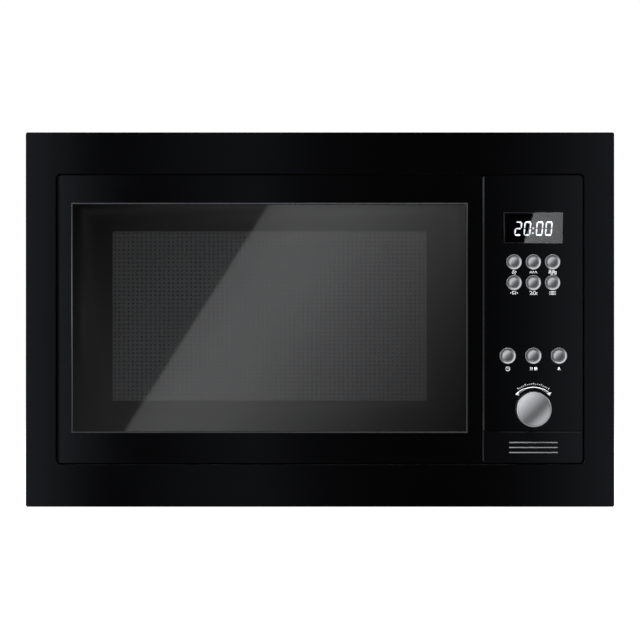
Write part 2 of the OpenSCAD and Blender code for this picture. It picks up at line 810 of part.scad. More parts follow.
module encoder_shaft() {
    color("#b4b7ba") rod_y(panel_x, knob_z, y_face - knob_proud + 5, y_face + 12.4, shaft_r);
}

module door_release_button() {
    lo = [panel_x0, front_z0];
    hi = [front_x1, release_z1];
    line_w = 49;
    color("#1b1b1e") {
        difference() {
            plate(y_face, y_face + release_skirt) intersection() {
                round_rect(lo, [hi.x, hi.y + 10], front_corner);
                rect(lo, hi);
            }
            plate(y_face + door_t, y_face + release_skirt + 1) rect(lo + [2, 2], hi - [2, 2]);
        }
        stem_z = lever[1] - lever_arm;
        rod_y(lever_x, stem_z, y_face + door_t, lever[0] - 2.5, 3);
        rod_y(front_x1 - 15, front_z0 + 15, y_face + door_t, y_face + 22, 3);
    }
    color("silver") for (step = [0:2])
        span([panel_x - line_w / 2, y_face - 0.3, front_z0 + 9.8 + 5.05 * step],
            [panel_x + line_w / 2, y_face, front_z0 + 11 + 5.05 * step]);
}

// ---- Door ----

module door_frame() {
    lo = [front_x0, front_z0];
    hi = [door_x1, front_z1];
    t = [door_t, door_t];
    y1 = y_face + skirt_d;
    left_r = 2;
    color("#1b1b1e") {
        difference() {
            plate(y_face, y1) round_rect(lo, hi, front_corner);
            plate(y_face + door_t, y1 + 1) round_rect(lo + t, hi - t, front_corner - 1);
            plate(y_face - 1, y_face + door_t + 1) rect(window_lo + bevel, window_hi - bevel);
            window_slopes();
            // Round edge that swings past the trim
            difference() {
                span([lo.x - 1, y_face - 1, lo.y - 1], [lo.x + left_r, y_face + left_r, hi.y + 1]);
                rod_z(lo.x + left_r, y_face + left_r, lo.y - 2, hi.y + 2, left_r);
            }
            // Slots that clear the hinge arms when the door is open
            for (z = [arm_z0, arm_z1])
                span([lo.x - 1, hinge.y - arm_r - 0.5, z - 0.5],
                    [lo.x + door_t + 1, y1 + 1, z + arm_t + 0.5]);
        }
        // Eyes that hold the hinge pins, outside each arm
        for (z = [[lo.y + door_t, arm_z0 - 0.4], [arm_z1 + arm_t + 0.4, hi.y - door_t]])
            difference() {
                span([lo.x + door_t, y_face + door_t, z[0]], [hinge.x + 5, hinge.y + 5, z[1]]);
                rod_z(hinge.x, hinge.y, z[0] - 1, z[1] + 1, hinge_pin_r);
            }
        // Ribs that the latch stops against and its spring stands on
        for (z = [hook_zs[0] - 34, hook_zs[1] + 22])
            span([choke_hi.x + 0.5, y_face + 10.5, z], [hi.x - door_t, y_face + 21, z + 3]);
        // Ribs that hold the glass against the front
        for (z = [window_lo.y - 5.5, window_hi.y + 2.5])
            span([window_lo.x, y_face + door_t, z], [window_hi.x, y_face + 8.8, z + 3]);
    }
}

// The four slopes that lead from the door's face down to the glass
module window_slopes() {
    lo = window_lo;
    hi = window_hi;
    d = door_t;
    b = window_bevel;
    for (side = [0, 1]) {
        x = side == 0 ? lo.x : hi.x;
        in_x = side == 0 ? b : -b;
        translate([0, 0, lo.y]) linear_extrude(hi.y - lo.y)
            polygon([[x, y_face], [x + in_x, y_face + d], [x + 2 * in_x, y_face + d],
                [x + 2 * in_x, y_face - 1], [x, y_face - 1]]);
        z = side == 0 ? lo.y : hi.y;
        in_z = side == 0 ? b : -b;
        translate([lo.x, 0, 0]) rotate([90, 0, 90]) linear_extrude(hi.x - lo.x)
            polygon([[y_face, z], [y_face + d, z + in_z], [y_face + d, z + 2 * in_z],
                [y_face - 1, z + 2 * in_z], [y_face - 1, z]]);
    }
}

module door_glass() {
    color([0.03, 0.03, 0.04, 0.8]) plate(y_face + door_t, y_face + door_t + glass_t)
        rect(window_lo - [2, 2], window_hi + [2, 2]);
}

module door_screen() {
    inner_lo = choke_lo + choke;
    inner_hi = choke_hi - choke;
    t = [sheet, sheet];
    y1 = y_face + door_d - 1.5;
    color("#55585c") {
        plate(screen_y, screen_y + sheet) rect(choke_lo, choke_hi);
        ring_plate(screen_y + sheet, y1, choke_lo, choke_hi, t);
        ring_plate(screen_y + sheet, y1 - 6, inner_lo - t, inner_hi + t, t);
    }
}

module inner_glass() {
    y0 = y_face + door_d - 7.5;
    color([0.2, 0.2, 0.22, 0.5]) plate(y0, y0 + 4)
        rect(choke_lo + choke - [4, 4], choke_hi - choke + [4, 4]);
}

module choke_cover() {
    y1 = y_face + door_d;
    color("#222224") {
        ring_plate(y1 - 1.5, y1, choke_lo, choke_hi, choke, 2);
        ring_plate(y1 - 3.5, y1 - 1.5, choke_lo + [2, 2], choke_hi - [2, 2], choke - [2, 2]);
    }
}

module hinge_pins() {
    color("#c9ccd0") {
        rod_z(hinge.x, hinge.y, front_z0 + door_t, arm_z0 + arm_t + 1.5, hinge_pin_r);
        rod_z(hinge.x, hinge.y, arm_z1 - 1.5, front_z1 - door_t, hinge_pin_r);
    }
}

module door_latch() {
    x0 = latch_x - latch_half;
    x1 = latch_x + latch_half;
    color("#d9d9d4") {
        span([x0, y_face + 11, hook_zs[0] - 14], [x1, y_face + 20, hook_zs[1] + 21.7]);
        for (z = hook_zs) {
            span([x0, y_face + 11, z], [x1, hook_y1, z + hook_h]);
            span([x0, y_plate + 11 + catch_gap, z], [x1, hook_y1, z + hook_tip_h]);
        }
    }
}

// Wire wound at a steady pitch, from its foot upwards
module coil(coil_r, wire_r, pitch, turns) {
    sides = 6;
    steps = 12;
    rings = steps * turns;
    points = [for (i = [0:rings], k = [0:sides - 1])
        let (a = 360 * i / steps, b = 360 * k / sides, r = coil_r + wire_r * cos(b))
        [r * cos(a), r * sin(a), pitch * i / steps + wire_r * sin(b)]];
    quads = [for (i = [0:rings - 1], k = [0:sides - 1])
        let (n = (k + 1) % sides)
        [i * sides + k, (i + 1) * sides + k, (i + 1) * sides + n, i * sides + n]];
    caps = [[for (k = [0:sides - 1]) k], [for (k = [sides - 1:-1:0]) rings * sides + k]];
    polyhedron(points, concat(quads, caps));
}

module latch_spring() {
    rib_z = hook_zs[0] - 31;
    wire_r = 0.35;
    turns = 7;
    height = 17 - 0.4;
    color("#c9ccd0") translate([latch_x, y_face + 15.5, rib_z + wire_r + 0.2])
        coil(2.1, wire_r, (height - 2 * wire_r) / turns, turns);
}

// ---- Turntable and fans ----

module turntable_coupler() {
    top = tray_z - 0.4;
    color("#e4e2da") translate([cavity_x, table_y, 0]) {
        rod_z(0, 0, cavity_lo.y - liner_t + 0.3, top, 6);
        for (step = [0:2])
            rotate([0, 0, 120 * step]) {
                span([0, -3, top - 7], [14, 3, top]);
                rod_z(14, 0, top - 7, top, 3);
            }
    }
}

module turntable_tray() {
    r = tray_dia / 2;
    color([0.85, 0.9, 0.92, 0.4]) translate([cavity_x, table_y, tray_z]) {
        rotate_extrude($fn = 120) polygon([
            [0, 0], [r - 16, 0], [r - 2, 7], [r, 9], [r, 11.5], [r - 1.5, 11.5],
            [r - 3.5, 10], [r - 17.5, 5], [0, 5]]);
        // Lugs that the coupler's arms push against
        for (step = [0:2])
            rotate([0, 0, 120 * step + 60]) translate([14, 0, -4]) cylinder(h = 5, r = 3);
    }
}

module roller_ring() {
    ring_in = roller_track_r - 15;
    ring_out = roller_track_r - 7;
    color("#e4e2da") translate([cavity_x, table_y, axle_z]) {
        rotate_extrude($fn = 96) rect([ring_in, -4], [ring_out, 4]);
        for (step = [0:2])
            rotate([0, 0, 120 * step]) {
                rod_x(ring_out - 1, roller_track_r + 7, 0, 0, axle_r);
                rod_x(roller_track_r + 5.5, roller_track_r + 7, 0, 0, 3.2);
            }
    }
}

// Roller on one of the ring's axles
module roller(step) {
    color("#e4e2da") translate([cavity_x, table_y, axle_z]) rotate([0, 0, 120 * step]) difference() {
        rod_x(roller_track_r - 5, roller_track_r + 5, 0, 0, roller_r);
        rod_x(roller_track_r - 10, roller_track_r + 10, 0, 0, axle_r + run_fit);
    }
}

module roller_1() { roller(0); }
module roller_2() { roller(1); }
module roller_3() { roller(2); }

// Hub with flat blades that lean to one side
module fan(y0, y1, hub_r, blade_r, blades, lean) {
    rod_y(0, 0, y0, y1, hub_r);
    for (step = [0:blades - 1])
        rotate([0, 360 * step / blades, 0]) translate([hub_r - 1, (y0 + y1) / 2, 0])
            rotate([lean, 0, 0]) span([0, -0.8, 2 - hub_r], [blade_r - hub_r, 0.8, hub_r - 2]);
}

module cooling_fan() {
    y = y_rear - 96;
    color("#e4e2da") translate([works_x, 0, cavity_z]) {
        fan(y, y + 14, 11, 49, 7, 35);
        rod_y(0, 0, y, y_rear - 76, 2.5);
    }
}

module hot_air_fan() {
    y = fan_y + 6;
    color("#a9adb1") translate([cavity_x, 0, cavity_z]) {
        rod_y(0, 0, y, y + 18, 6);
        rod_y(0, 0, y + 16.8, y + 18, 62);
        for (step = [0:11])
            rotate([0, 30 * step, 0]) span([20, y, -0.6], [62, y + 17, 0.6]);
        rod_y(0, 0, y + 18, fan_y + hot_housing_d + 0.2, 3.5);
    }
}

module convection_button() { button(small_buttons[0], cap_small_r); }
module grill_button() { button(small_buttons[1], cap_small_r); }
module microwave_button() { button(small_buttons[2], cap_small_r); }
module memory_button() { button(small_buttons[3], cap_small_r); }
module combi_button() { button(small_buttons[4], cap_small_r); }
module auto_menu_button() { button(small_buttons[5], cap_small_r); }
module clock_button() { button(large_buttons[0], cap_large_r); }
module pause_button() { button(large_buttons[1], cap_large_r); }
module start_button() { button(large_buttons[2], cap_large_r); }

trim_frame();
mounting_brackets();
front_plate();
cavity_liner();
outer_cover();
rear_panel();
base_plate();
rubber_feet();
cord_gland();
case_screws();
hinge_brackets();
waveguide();
waveguide_cover();
magnetron();
transformer();
hv_capacitor();
fan_shroud();
fan_motor();
hot_air_housing();
ring_heater();
hot_air_motor();
grill_element();
turntable_motor();
cavity_lamp();
interlock_bracket();
interlock_switches();
control_panel();
display_window();
display_module();
control_board();
button_rings();
cooling_fan();
hot_air_fan();
turntable_coupler();
turntable_tray();
roller_ring();
roller_1();
roller_2();
roller_3();
release_lever();
knob();
encoder_shaft();
convection_button();
grill_button();
microwave_button();
memory_button();
combi_button();
auto_menu_button();
clock_button();
pause_button();
start_button();
door_release_button();
door_frame();
door_glass();
door_screen();
inner_glass();
choke_cover();
hinge_pins();
door_latch();
latch_spring();
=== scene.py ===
# %% [markdown]
# # Dressing a built-in combination microwave oven
#
# The working model of the oven already exists: sixty named parts, their joints and their sizes.
# This notebook loads it as a fixed frame and gives it its looks. Nothing that moves or fits is
# changed here. A part either keeps its shape and gets a finish, or a finer piece stands for it.

# %% Load the fixed frame
import json
import math

import bmesh
import bpy
from mathutils import Matrix, Vector


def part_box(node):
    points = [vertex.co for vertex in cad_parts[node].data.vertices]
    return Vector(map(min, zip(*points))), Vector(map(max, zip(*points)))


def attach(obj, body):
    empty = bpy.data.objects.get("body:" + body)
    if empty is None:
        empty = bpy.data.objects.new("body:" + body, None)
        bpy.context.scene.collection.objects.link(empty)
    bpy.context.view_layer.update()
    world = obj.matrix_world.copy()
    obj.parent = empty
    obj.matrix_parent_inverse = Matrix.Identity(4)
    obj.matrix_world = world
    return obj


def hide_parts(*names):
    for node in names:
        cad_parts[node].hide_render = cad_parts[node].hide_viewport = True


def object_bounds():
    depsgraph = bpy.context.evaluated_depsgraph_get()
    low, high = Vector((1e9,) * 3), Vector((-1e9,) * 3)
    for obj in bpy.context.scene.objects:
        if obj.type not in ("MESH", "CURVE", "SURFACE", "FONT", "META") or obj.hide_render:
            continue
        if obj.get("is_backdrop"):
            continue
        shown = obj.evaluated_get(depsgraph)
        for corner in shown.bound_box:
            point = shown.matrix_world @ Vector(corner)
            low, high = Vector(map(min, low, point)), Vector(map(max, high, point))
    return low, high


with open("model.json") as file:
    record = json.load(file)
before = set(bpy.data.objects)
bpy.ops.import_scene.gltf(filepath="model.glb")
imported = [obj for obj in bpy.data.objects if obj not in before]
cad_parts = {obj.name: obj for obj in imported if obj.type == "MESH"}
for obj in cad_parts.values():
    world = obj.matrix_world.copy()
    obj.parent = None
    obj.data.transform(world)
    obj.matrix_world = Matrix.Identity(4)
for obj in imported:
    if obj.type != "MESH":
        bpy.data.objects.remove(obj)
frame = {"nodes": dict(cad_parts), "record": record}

scene = bpy.context.scene
cad_low, cad_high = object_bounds()
print("parts:", len(frame["nodes"]), " size in mm:", [round(s * 1000) for s in cad_high - cad_low])

# %% [markdown]
# ## The camera
#
# A built-in appliance is judged by its front, so the camera looks straight at the middle of the
# trim. A long lens from far away keeps the sides out of sight and every edge parallel, which a
# short lens close by would not do.

# %% Camera
MM = 0.001
trim_low, trim_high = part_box("trim_frame")
face_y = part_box("door_frame")[0].y
DISTANCE = 4.5
eye = Vector((0, face_y - DISTANCE, (trim_low.z + trim_high.z) / 2 - 0.5 * MM))

camera_data = bpy.data.cameras.new("camera")
camera_data.lens = 250.8
camera_data.sensor_width = 36
camera = bpy.data.objects.new("camera", camera_data)
camera.location = eye
camera.rotation_euler = (math.radians(90), 0, 0)
scene.collection.objects.link(camera)
scene.camera = camera
scene.view_settings.view_transform = "Standard"
print("camera stands", DISTANCE, "m in front of the door")

# %% [markdown]
# ## Helpers for finishes
#
# Every finish is one Principled surface. What is the same all over it is set on the surface's own
# sockets. What varies, such as grain or brushing, comes from noise that reads the piece's Object
# coordinates. All pieces share one frame, so a pattern runs on from one piece to the next, as
# paint or brushing from one batch would.

# %% Finish helpers
finishes = {}


def finish(name, colour, roughness, metallic=0.0, **sockets):
    """A new material with its fixed values set on the surface's sockets."""
    material = bpy.data.materials.new(name)
    material.use_nodes = True
    surface = material.node_tree.nodes["Principled BSDF"]
    surface.inputs["Base Color"].default_value = (*colour, 1)
    surface.inputs["Roughness"].default_value = roughness
    surface.inputs["Metallic"].default_value = metallic
    for socket, value in sockets.items():
        surface.inputs[socket.replace("_", " ")].default_value = value
    finishes[name] = material
    return material


def add(material, kind, **settings):
    """A new node of that kind, with its own settings."""
    node = material.node_tree.nodes.new(kind)
    for setting, value in settings.items():
        setattr(node, setting, value)
    return node


def wire(material, source, target):
    material.node_tree.links.new(source, target)


def coordinates(material, stretch=(1, 1, 1), centre=(0, 0, 0), turn=(0, 0, 0)):
    """Object coordinates, moved so that centre is at zero and scaled by stretch."""
    mapping = add(material, "ShaderNodeMapping", vector_type="POINT")
    mapping.inputs["Location"].default_value = [-c * s for c, s in zip(centre, stretch)]
    mapping.inputs["Rotation"].default_value = turn
    mapping.inputs["Scale"].default_value = stretch
    wire(material, add(material, "ShaderNodeTexCoord").outputs["Object"], mapping.inputs["Vector"])
    return mapping.outputs["Vector"]


def noise(material, scale, detail=2.0, **place):
    """Cloudy values from 0 to 1; scale is the number of clouds in a metre."""
    texture = add(material, "ShaderNodeTexNoise")
    texture.inputs["Scale"].default_value = scale
    texture.inputs["Detail"].default_value = detail
    wire(material, coordinates(material, **place), texture.inputs["Vector"])
    return texture.outputs["Fac"]


def spread(material, value, low, high, start=0.3, end=0.7):
    """Values from start to end, stretched to run from low to high."""
    mapped = add(material, "ShaderNodeMapRange")
    for socket, number in zip(("From Min", "From Max", "To Min", "To Max"), (start, end, low, high)):
        mapped.inputs[socket].default_value = number
    wire(material, value, mapped.inputs["Value"])
    return mapped.outputs["Result"]


def surface_of(material):
    return material.node_tree.nodes["Principled BSDF"]


def vary_roughness(material, value, low, high):
    wire(material, spread(material, value, low, high), surface_of(material).inputs["Roughness"])


def vary_colour(material, value, dark, light):
    """Colour between two shades, by a value from 0 to 1."""
    shades = add(material, "ShaderNodeValToRGB")
    for stop, (place, colour) in zip(shades.color_ramp.elements, ((0.3, dark), (0.7, light))):
        stop.position = place
        stop.color = (*colour, 1)
    wire(material, value, shades.inputs["Fac"])
    wire(material, shades.outputs["Color"], surface_of(material).inputs["Base Color"])


def emboss(material, value, depth, strength=1.0):
    """Bumps of that depth in metres, on top of any that the surface has already."""
    bump = add(material, "ShaderNodeBump")
    bump.inputs["Distance"].default_value = depth
    bump.inputs["Strength"].default_value = strength
    wire(material, value, bump.inputs["Height"])
    normal = surface_of(material).inputs["Normal"]
    if normal.is_linked:
        wire(material, normal.links[0].from_socket, bump.inputs["Normal"])
    wire(material, bump.outputs["Normal"], normal)


# %% [markdown]
# ## The black of the front
#
# The trim is powder-coated sheet, and the door and panel are moulded in satin black. Black shows
# itself only by what it mirrors, so its base colour is close to nothing and the grain does the
# work: a fine bump, and cloudy changes in roughness that soften the reflections unevenly.

# %% Satin blacks
trim_black = finish("trim_black", (0.001, 0.001, 0.0012), 0.13)
emboss(trim_black, noise(trim_black, 2600, 3.0), 0.004 * MM, 0.5)
vary_roughness(trim_black, noise(trim_black, 35, 3.0), 0.09, 0.12)

front_black = finish("front_black", (0.001, 0.001, 0.0012), 0.12)
emboss(front_black, noise(front_black, 1900, 2.0), 0.003 * MM, 0.5)
vary_roughness(front_black, noise(front_black, 50, 4.0), 0.085, 0.115)

black_plastic = finish("black_plastic", (0.016, 0.016, 0.018), 0.5)
emboss(black_plastic, noise(black_plastic, 1400, 2.0), 0.02 * MM, 0.6)
vary_roughness(black_plastic, noise(black_plastic, 120), 0.42, 0.56)

dark_rubber = finish("dark_rubber", (0.02, 0.02, 0.021), 0.75)
emboss(dark_rubber, noise(dark_rubber, 900, 4.0), 0.05 * MM, 0.7)
vary_roughness(dark_rubber, noise(dark_rubber, 200), 0.68, 0.82)

black_enamel = finish("black_enamel", (0.02, 0.02, 0.022), 0.4)
emboss(black_enamel, noise(black_enamel, 160, 2.0), 0.02 * MM, 0.4)
vary_roughness(black_enamel, noise(black_enamel, 60, 3.0), 0.28, 0.4)
vary_colour(black_enamel, noise(black_enamel, 25), (0.017, 0.017, 0.019), (0.024, 0.024, 0.026))

screen_enamel = finish("screen_enamel", (0.3, 0.305, 0.31), 0.45)
emboss(screen_enamel, noise(screen_enamel, 160, 2.0), 0.02 * MM, 0.4)
vary_roughness(screen_enamel, noise(screen_enamel, 60, 3.0), 0.4, 0.52)
vary_colour(screen_enamel, noise(screen_enamel, 25), (0.28, 0.284, 0.29), (0.32, 0.325, 0.33))

display_black = finish("display_black", (0.002, 0.002, 0.003), 0.04, Alpha=0.62)
vary_roughness(display_black, noise(display_black, 90), 0.008, 0.02)
print("blacks:", sorted(finishes))

# %% [markdown]
# ## Glass
#
# The window is tinted float glass with a printed border. A clear sheet with a dark tint can be
# made with full transmission, but every lamp then has to find its way through it. Here the sheet
# is a dark gloss that lets a third of the light pass, which looks the same and settles quickly.

# %% Glass
window_glass = finish("window_glass", (0.003, 0.003, 0.004), 0.02, Alpha=0.66)
vary_roughness(window_glass, noise(window_glass, 14, 2.0), 0.012, 0.03)

inner_glass = finish("inner_glass", (0.02, 0.021, 0.022), 0.03, Alpha=0.3)
vary_roughness(inner_glass, noise(inner_glass, 22, 2.0), 0.02, 0.06)

clear_glass = finish("clear_glass", (0.72, 0.84, 0.8), 0.04, Alpha=0.32)
vary_roughness(clear_glass, noise(clear_glass, 40, 2.0), 0.03, 0.08)
emboss(clear_glass, noise(clear_glass, 60, 2.0), 0.05 * MM, 0.3)

bezel_grey = finish("bezel_grey", (0.2, 0.203, 0.21), 0.3, 1.0)
vary_roughness(bezel_grey, noise(bezel_grey, 500), 0.26, 0.34)
emboss(bezel_grey, noise(bezel_grey, 1800), 0.003 * MM, 0.5)

black_ink = finish("black_ink", (0.0025, 0.0025, 0.003), 0.5)
emboss(black_ink, noise(black_ink, 3000), 0.002 * MM, 0.5)
vary_roughness(black_ink, noise(black_ink, 300), 0.45, 0.55)

# %% [markdown]
# ## Bright metals
#
# The button rings are chrome, the caps and the knob are satin silver. Spun parts carry fine
# circular lines round their own middle, so the knob's finish measures the distance from the
# knob's axis and feeds that to the noise. Plated parts have only faint clouding.

# %% Chrome and silver
pale_strip = finish("pale_strip", (0.2, 0.202, 0.205), 0.42)
vary_roughness(pale_strip, noise(pale_strip, 300, 2.0, stretch=(0.2, 1, 4)), 0.36, 0.5)
knob_low, knob_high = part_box("knob")
knob_middle = (knob_low + knob_high) / 2

bright_steel = finish("bright_steel", (0.74, 0.745, 0.76), 0.14, 1.0)
vary_roughness(bright_steel, noise(bright_steel, 400), 0.08, 0.14)
emboss(bright_steel, noise(bright_steel, 900), 0.002 * MM, 0.5)

cap_silver = finish("cap_silver", (0.62, 0.625, 0.64), 0.3, 1.0)
vary_roughness(cap_silver, noise(cap_silver, 700), 0.16, 0.22)
emboss(cap_silver, noise(cap_silver, 2400), 0.003 * MM, 0.6)


def spun_lines(material, middle, lines):
    """Values that change only with the distance from an axis along Y."""
    flat = coordinates(material, stretch=(1, 0, 1), centre=middle)
    length = add(material, "ShaderNodeVectorMath", operation="LENGTH")
    wire(material, flat, length.inputs[0])
    texture = add(material, "ShaderNodeTexNoise", noise_dimensions="1D")
    texture.inputs["Scale"].default_value = lines
    texture.inputs["Detail"].default_value = 3.0
    wire(material, length.outputs["Value"], texture.inputs["W"])
    return texture.outputs["Fac"]


satin_silver = finish("satin_silver", (0.66, 0.665, 0.68), 0.3, 1.0)
rings_on_knob = spun_lines(satin_silver, knob_middle, 2600)
vary_roughness(satin_silver, rings_on_knob, 0.17, 0.24)
emboss(satin_silver, rings_on_knob, 0.006 * MM, 0.6)

aluminium = finish("aluminium", (0.66, 0.67, 0.68), 0.36, 1.0)
vary_roughness(aluminium, noise(aluminium, 90, 4.0, stretch=(1, 1, 12)), 0.28, 0.45)
emboss(aluminium, noise(aluminium, 500, 3.0, stretch=(1, 1, 8)), 0.01 * MM, 0.5)

# %% [markdown]
# ## Sheet steel
#
# The case is galvanised: its zinc has grown in flat crystals some seven millimetres wide, each a
# slightly different grey. Voronoi cells give exactly such a patchwork. The cavity is brushed
# stainless steel, which is noise drawn out along one direction.

# %% Galvanised, brushed and heated steel
zinc_steel = finish("zinc_steel", (0.5, 0.51, 0.52), 0.4, 1.0)
crystals = add(zinc_steel, "ShaderNodeTexVoronoi")
crystals.inputs["Scale"].default_value = 140
wire(zinc_steel, coordinates(zinc_steel), crystals.inputs["Vector"])
crystal_grey = add(zinc_steel, "ShaderNodeSeparateColor")
wire(zinc_steel, crystals.outputs["Color"], crystal_grey.inputs["Color"])
vary_colour(zinc_steel, crystal_grey.outputs["Red"], (0.45, 0.457, 0.467), (0.53, 0.534, 0.54))
vary_roughness(zinc_steel, crystal_grey.outputs["Green"], 0.38, 0.46)
emboss(zinc_steel, noise(zinc_steel, 700, 4.0), 0.01 * MM, 0.5)

cavity_steel = finish("cavity_steel", (0.56, 0.565, 0.575), 0.3, 1.0)
brushing = noise(cavity_steel, 60, 6.0, stretch=(30, 1, 30))
vary_roughness(cavity_steel, brushing, 0.24, 0.4)
emboss(cavity_steel, brushing, 0.01 * MM, 0.6)
vary_colour(cavity_steel, noise(cavity_steel, 8, 3.0), (0.5, 0.505, 0.515), (0.6, 0.605, 0.61))

heater_steel = finish("heater_steel", (0.16, 0.15, 0.145), 0.45, 1.0)
vary_colour(heater_steel, noise(heater_steel, 30, 4.0), (0.1, 0.09, 0.09), (0.26, 0.22, 0.19))
vary_roughness(heater_steel, noise(heater_steel, 220), 0.38, 0.6)
emboss(heater_steel, noise(heater_steel, 1100), 0.01 * MM, 0.6)

core_steel = finish("core_steel", (0.1, 0.085, 0.075), 0.45, 0.4)
emboss(core_steel, noise(core_steel, 40, 2.0, stretch=(50, 1, 1)), 0.15 * MM, 0.8)
vary_colour(core_steel, noise(core_steel, 60, 3.0), (0.07, 0.06, 0.055), (0.14, 0.115, 0.095))

# %% [markdown]
# ## Plastics, mica and the circuit board
#
# Moulded parts have a faint orange peel from the tool's surface. The plate over the waveguide is
# pressed mica, with pale flakes. The board's green lacquer lies over copper tracks that show as
# slightly raised, lighter lines, so a brick pattern stands in for their right angles.

# %% Plastics, mica and board
white_plastic = finish("white_plastic", (0.72, 0.71, 0.67), 0.42)
emboss(white_plastic, noise(white_plastic, 800, 2.0), 0.01 * MM, 0.5)
vary_roughness(white_plastic, noise(white_plastic, 150), 0.36, 0.5)
vary_colour(white_plastic, noise(white_plastic, 20), (0.69, 0.68, 0.64), (0.75, 0.74, 0.7))

mica = finish("mica", (0.6, 0.52, 0.38), 0.45)
vary_colour(mica, noise(mica, 160, 5.0), (0.46, 0.39, 0.27), (0.74, 0.67, 0.52))
vary_roughness(mica, noise(mica, 300), 0.3, 0.6)
emboss(mica, noise(mica, 260, 4.0), 0.04 * MM, 0.6)

circuit_green = finish("circuit_green", (0.02, 0.13, 0.05), 0.3)
tracks = add(circuit_green, "ShaderNodeTexBrick")
tracks.inputs["Scale"].default_value = 120
tracks.inputs["Color1"].default_value = (0.015, 0.1, 0.04, 1)
tracks.inputs["Color2"].default_value = (0.02, 0.13, 0.05, 1)
tracks.inputs["Mortar"].default_value = (0.05, 0.24, 0.09, 1)
wire(circuit_green, coordinates(circuit_green, turn=(math.radians(90), 0, 0)), tracks.inputs["Vector"])
wire(circuit_green, tracks.outputs["Color"], surface_of(circuit_green).inputs["Base Color"])
emboss(circuit_green, tracks.outputs["Fac"], 0.03 * MM, 0.6)

white_ink = finish("white_ink", (0.82, 0.83, 0.84), 0.5)
vary_colour(white_ink, noise(white_ink, 1500, 3.0), (0.78, 0.79, 0.8), (0.87, 0.88, 0.89))

lit_segment = finish("lit_segment", (0.8, 0.85, 0.9), 0.4)
surface_of(lit_segment).inputs["Emission Color"].default_value = (0.9, 0.95, 1, 1)
surface_of(lit_segment).inputs["Emission Strength"].default_value = 8
vary_colour(lit_segment, noise(lit_segment, 900), (0.75, 0.8, 0.85), (0.85, 0.9, 0.95))
print("finishes:", len(finishes))

# %% [markdown]
# ## Helpers for pieces
#
# A piece is drawn in a bmesh, in metres, in the oven's own frame. Then it becomes an object that
# sits at the origin, rides on the body it belongs to, and hides the part that it stands for.
#
# Edges are shaded smooth or sharp by their angle. The weighted normals keep wide flat faces flat
# next to a narrow rounded edge, where plain smooth shading would bend the light across them.

# %% Piece helpers
body_of_node = {n: b for b, ns in frame["record"]["behaviour"]["bodies"].items() for n in ns}
slot_of_node = {p["node"]: p["material_slot"] for p in frame["record"]["subparts"]}
SHARP = math.radians(38)
triangle_count = {}


def make_piece(name, bm, material, body, stands_for=()):
    """Turns a bmesh into a finished piece on its body."""
    for face in bm.faces:
        face.smooth = True
    for edge in bm.edges:
        edge.smooth = len(edge.link_faces) != 2 or edge.calc_face_angle(0) < SHARP
    triangle_count[name] = sum(len(face.verts) - 2 for face in bm.faces)
    mesh = bpy.data.meshes.new(name)
    bm.to_mesh(mesh)
    bm.free()
    if "custom_normal" in mesh.attributes:
        mesh.attributes.remove(mesh.attributes["custom_normal"])
    mesh.materials.clear()
    mesh.materials.append(material)
    piece = bpy.data.objects.new(name, mesh)
    scene.collection.objects.link(piece)
    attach(piece, body)
    if stands_for:
        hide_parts(*stands_for)
    weighted = piece.modifiers.new("even_shading", "WEIGHTED_NORMAL")
    weighted.keep_sharp = True
    return piece


def merged_copy(node):
    """The part's own shape as a clean bmesh: joined corners, and one face for each flat."""
    bm = bmesh.new()
    bm.from_mesh(frame["nodes"][node].data)
    bmesh.ops.remove_doubles(bm, verts=bm.verts, dist=0.001 * MM)
    bmesh.ops.dissolve_limit(bm, angle_limit=math.radians(0.5), verts=bm.verts, edges=bm.edges)
    return bm


def round_edges(bm, edges, width, segments=2):
    bmesh.ops.bevel(bm, geom=list(edges), offset=width, offset_type="OFFSET", segments=segments,
                    profile=0.5, affect="EDGES", material=-1, clamp_overlap=True)


def sharp_edges(bm, limit=math.radians(30)):
    return [e for e in bm.edges if len(e.link_faces) == 2 and e.calc_face_angle(0) > limit]


def soften(node, width=0.3 * MM, segments=2, material=None, before=None):
    """The part's own shape with its edges rounded, as pressing and moulding leave them."""
    bm = merged_copy(node)
    if before:
        before(bm)
    round_edges(bm, sharp_edges(bm), width, segments)
    material = material or finishes[slot_of_node[node]]
    return make_piece(f"{node}_rounded", bm, material, body_of_node[node],
                      (node,))


# %% [markdown]
# ## The trim frame
#
# The trim is folded sheet that hides the gap between the oven and the cupboard. Its shape in the
# working model is right, so it is copied and its edges are rounded: a folded and coated edge is
# never sharp, and the thin line of light along it is what draws the outline of a black object.

# %% Trim frame
trim = soften("trim_frame", 0.6 * MM, 3)
print("trim triangles:", triangle_count[trim.name])

# %% [markdown]
# ## Door frame, control panel and release button
#
# These three mouldings meet along fine gaps. The panel's edge beside the door is a flat slope
# some one and a half millimetres wide, which mirrors the light as one even line. The upper edge of the release
# button has a smaller one, where a thumb finds it. Both are made by cutting the solid with a
# plane and closing the cut. All other sharp edges are rounded together.

# %% Mouldings of the front
panel_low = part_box("control_panel")[0]
release_low, release_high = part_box("door_release_button")
TINY = 0.02 * MM
SIDE_SLOPE, SIDE_DEPTH = 1.6 * MM, 0.38 * MM
TOP_SLOPE, TOP_DEPTH = 1.0 * MM, 0.28 * MM


def slope_edge(bm, corner, side, width, depth):
    """Cuts a flat slope along a front edge: that wide, and only that deep. The corner is a point
    on the edge, and side is the direction in which the edge faces."""
    outward = Vector(side) * depth + Vector((0, -width, 0))
    cut = bmesh.ops.bisect_plane(bm, geom=[*bm.verts, *bm.edges, *bm.faces], dist=TINY / 20,
                                 plane_co=corner + Vector((0, depth, 0)),
                                 plane_no=outward.normalized(), clear_outer=True)["geom_cut"]
    bmesh.ops.edgeloop_fill(bm, edges=[g for g in cut if isinstance(g, bmesh.types.BMEdge)])
    bmesh.ops.recalc_face_normals(bm, faces=bm.faces)


